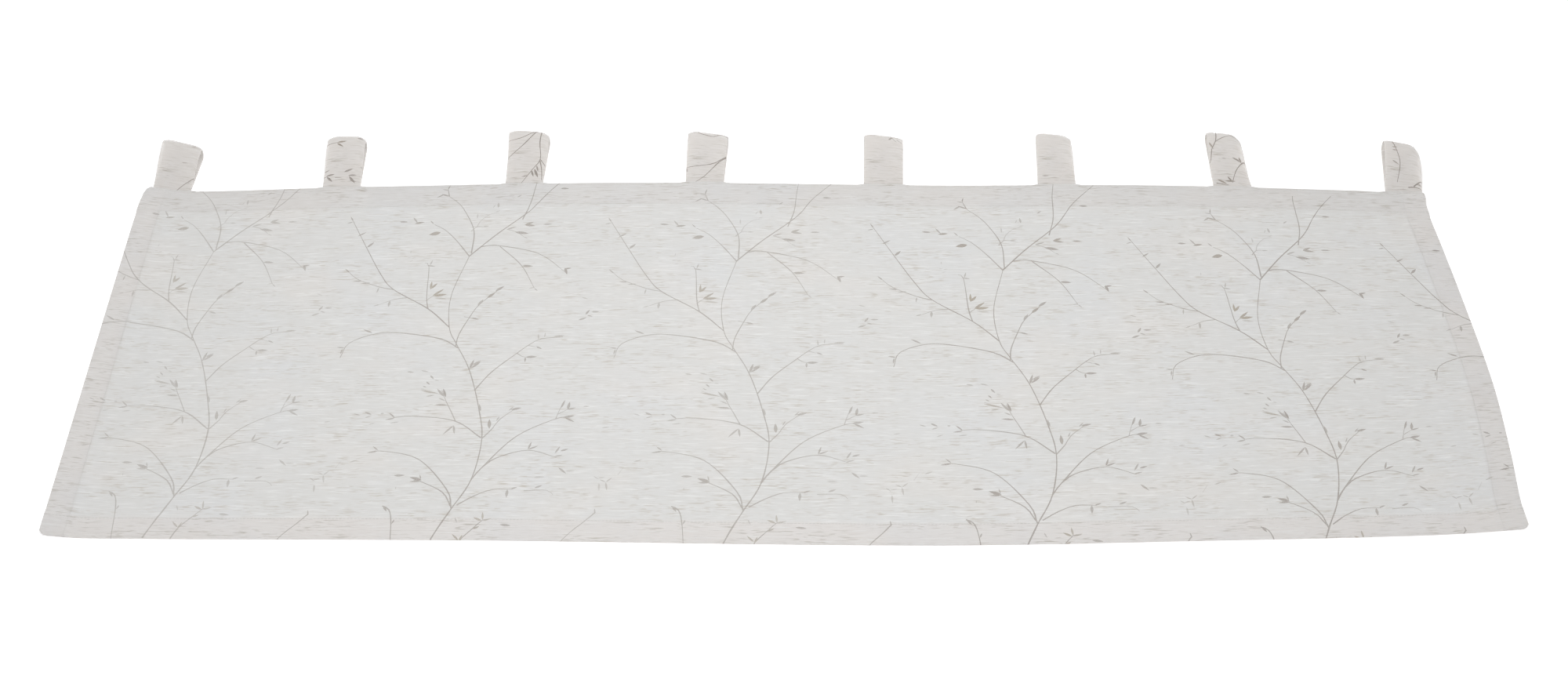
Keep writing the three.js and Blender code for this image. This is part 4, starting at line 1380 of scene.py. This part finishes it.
def stitch_tree():
    """The node tree that sets a stitch at even steps along every seam line."""
    tree = bpy.data.node_groups.new("stitches_on_lines", "GeometryNodeTree")
    sides = tree.interface
    sides.new_socket("Geometry", in_out="INPUT", socket_type="NodeSocketGeometry")
    for name, kind in (("Stitch Length", "Float"), ("Gap", "Float"), ("Thread", "Float"),
                       ("Seed", "Int"), ("Material", "Material")):
        sides.new_socket(name, in_out="INPUT", socket_type=f"NodeSocket{kind}")
    sides.new_socket("Geometry", in_out="OUTPUT", socket_type="NodeSocketGeometry")

    def node(kind, settings=None, values=None):
        made = tree.nodes.new(kind)
        for name, value in (settings or {}).items():
            setattr(made, name, value)
        for name, value in (values or {}).items():
            if isinstance(value, bpy.types.NodeSocket):
                tree.links.new(value, made.inputs[name])
            else:
                made.inputs[name].default_value = value
        return made

    given = node("NodeGroupInput").outputs
    pitch = node("ShaderNodeMath", {"operation": "ADD"},
                 {0: given["Stitch Length"], 1: given["Gap"]})
    steps = node("GeometryNodeResampleCurve", {"mode": "LENGTH"},
                 {"Curve": given["Geometry"], "Length": pitch.outputs[0]})
    ball = node("GeometryNodeMeshUVSphere", {}, {"Segments": 6, "Rings": 5, "Radius": 0.5})
    size = node("ShaderNodeCombineXYZ", {},
                {"X": given["Stitch Length"], "Y": given["Thread"], "Z": given["Thread"]})
    stitch = node("GeometryNodeTransform", {},
                  {"Geometry": ball.outputs["Mesh"], "Scale": size.outputs[0]})
    along = node("GeometryNodeInputTangent")
    turn = node("FunctionNodeAlignRotationToVector", {"axis": "X"},
                {"Vector": along.outputs[0]})
    skew = node("FunctionNodeRandomValue", {"data_type": "FLOAT_VECTOR"},
                {0: (-0.02, -0.02, -0.09), 1: (0.02, 0.02, 0.09), "Seed": given["Seed"]})
    turned = node("FunctionNodeRotateRotation", {"rotation_space": "LOCAL"},
                  {0: turn.outputs[0], 1: skew.outputs[0]})
    uneven = node("FunctionNodeRandomValue", {"data_type": "FLOAT_VECTOR"},
                  {0: (0.93, 0.9, 0.9), 1: (1.03, 1.1, 1.1), "Seed": given["Seed"]})
    placed = node("GeometryNodeInstanceOnPoints", {},
                  {"Points": steps.outputs[0], "Instance": stitch.outputs[0],
                   "Rotation": turned.outputs[0], "Scale": uneven.outputs[0]})
    real = node("GeometryNodeRealizeInstances", {}, {"Geometry": placed.outputs[0]})
    smooth = node("GeometryNodeSetShadeSmooth", {}, {"Geometry": real.outputs[0]})
    coloured = node("GeometryNodeSetMaterial", {},
                    {"Geometry": smooth.outputs[0], "Material": given["Material"]})
    node("NodeGroupOutput", {}, {"Geometry": coloured.outputs[0]})
    return tree


class CURTAIN_PT_sidebar(bpy.types.Panel):
    """The curtain's settings and its pieces"""

    bl_label = "Curtain"
    bl_space_type = "VIEW_3D"
    bl_region_type = "UI"
    bl_category = "Curtain"

    def draw(self, context):
        layout = self.layout
        for title, group in GROUPS.items():
            box = layout.box()
            box.label(text=title)
            settings = getattr(context.scene, group)
            for name in settings.__annotations__:
                box.prop(settings, name)
        for operator in OPERATORS:
            layout.operator(operator.bl_idname)


GROUPS = {"Cloth": "curtain_cloth", "Stitches": "curtain_stitch", "Stage": "curtain_stage"}
SETTINGS = (ClothSettings, StitchSettings, StageSettings)
OPERATORS = (CURTAIN_OT_stage, CURTAIN_OT_panel, CURTAIN_OT_facing, CURTAIN_OT_tabs,
             CURTAIN_OT_stitches)
CLASSES = (*SETTINGS, *OPERATORS, CURTAIN_PT_sidebar)


def register():
    """Makes the settings and the operators known to Blender."""
    for made in CLASSES:
        bpy.utils.register_class(made)
    for group, kind in zip(GROUPS.values(), SETTINGS):
        setattr(bpy.types.Scene, group, PointerProperty(type=kind))


def unregister():
    """Takes them away again."""
    for group in GROUPS.values():
        delattr(bpy.types.Scene, group)
    for made in reversed(CLASSES):
        bpy.utils.unregister_class(made)


def main():
    """Registers the add-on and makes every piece."""
    register()
    bpy.ops.curtain.stage()
    bpy.ops.curtain.panel()
    bpy.ops.curtain.facing()
    bpy.ops.curtain.tabs()
    bpy.ops.curtain.stitches()


if __name__ == "__main__":
    main()
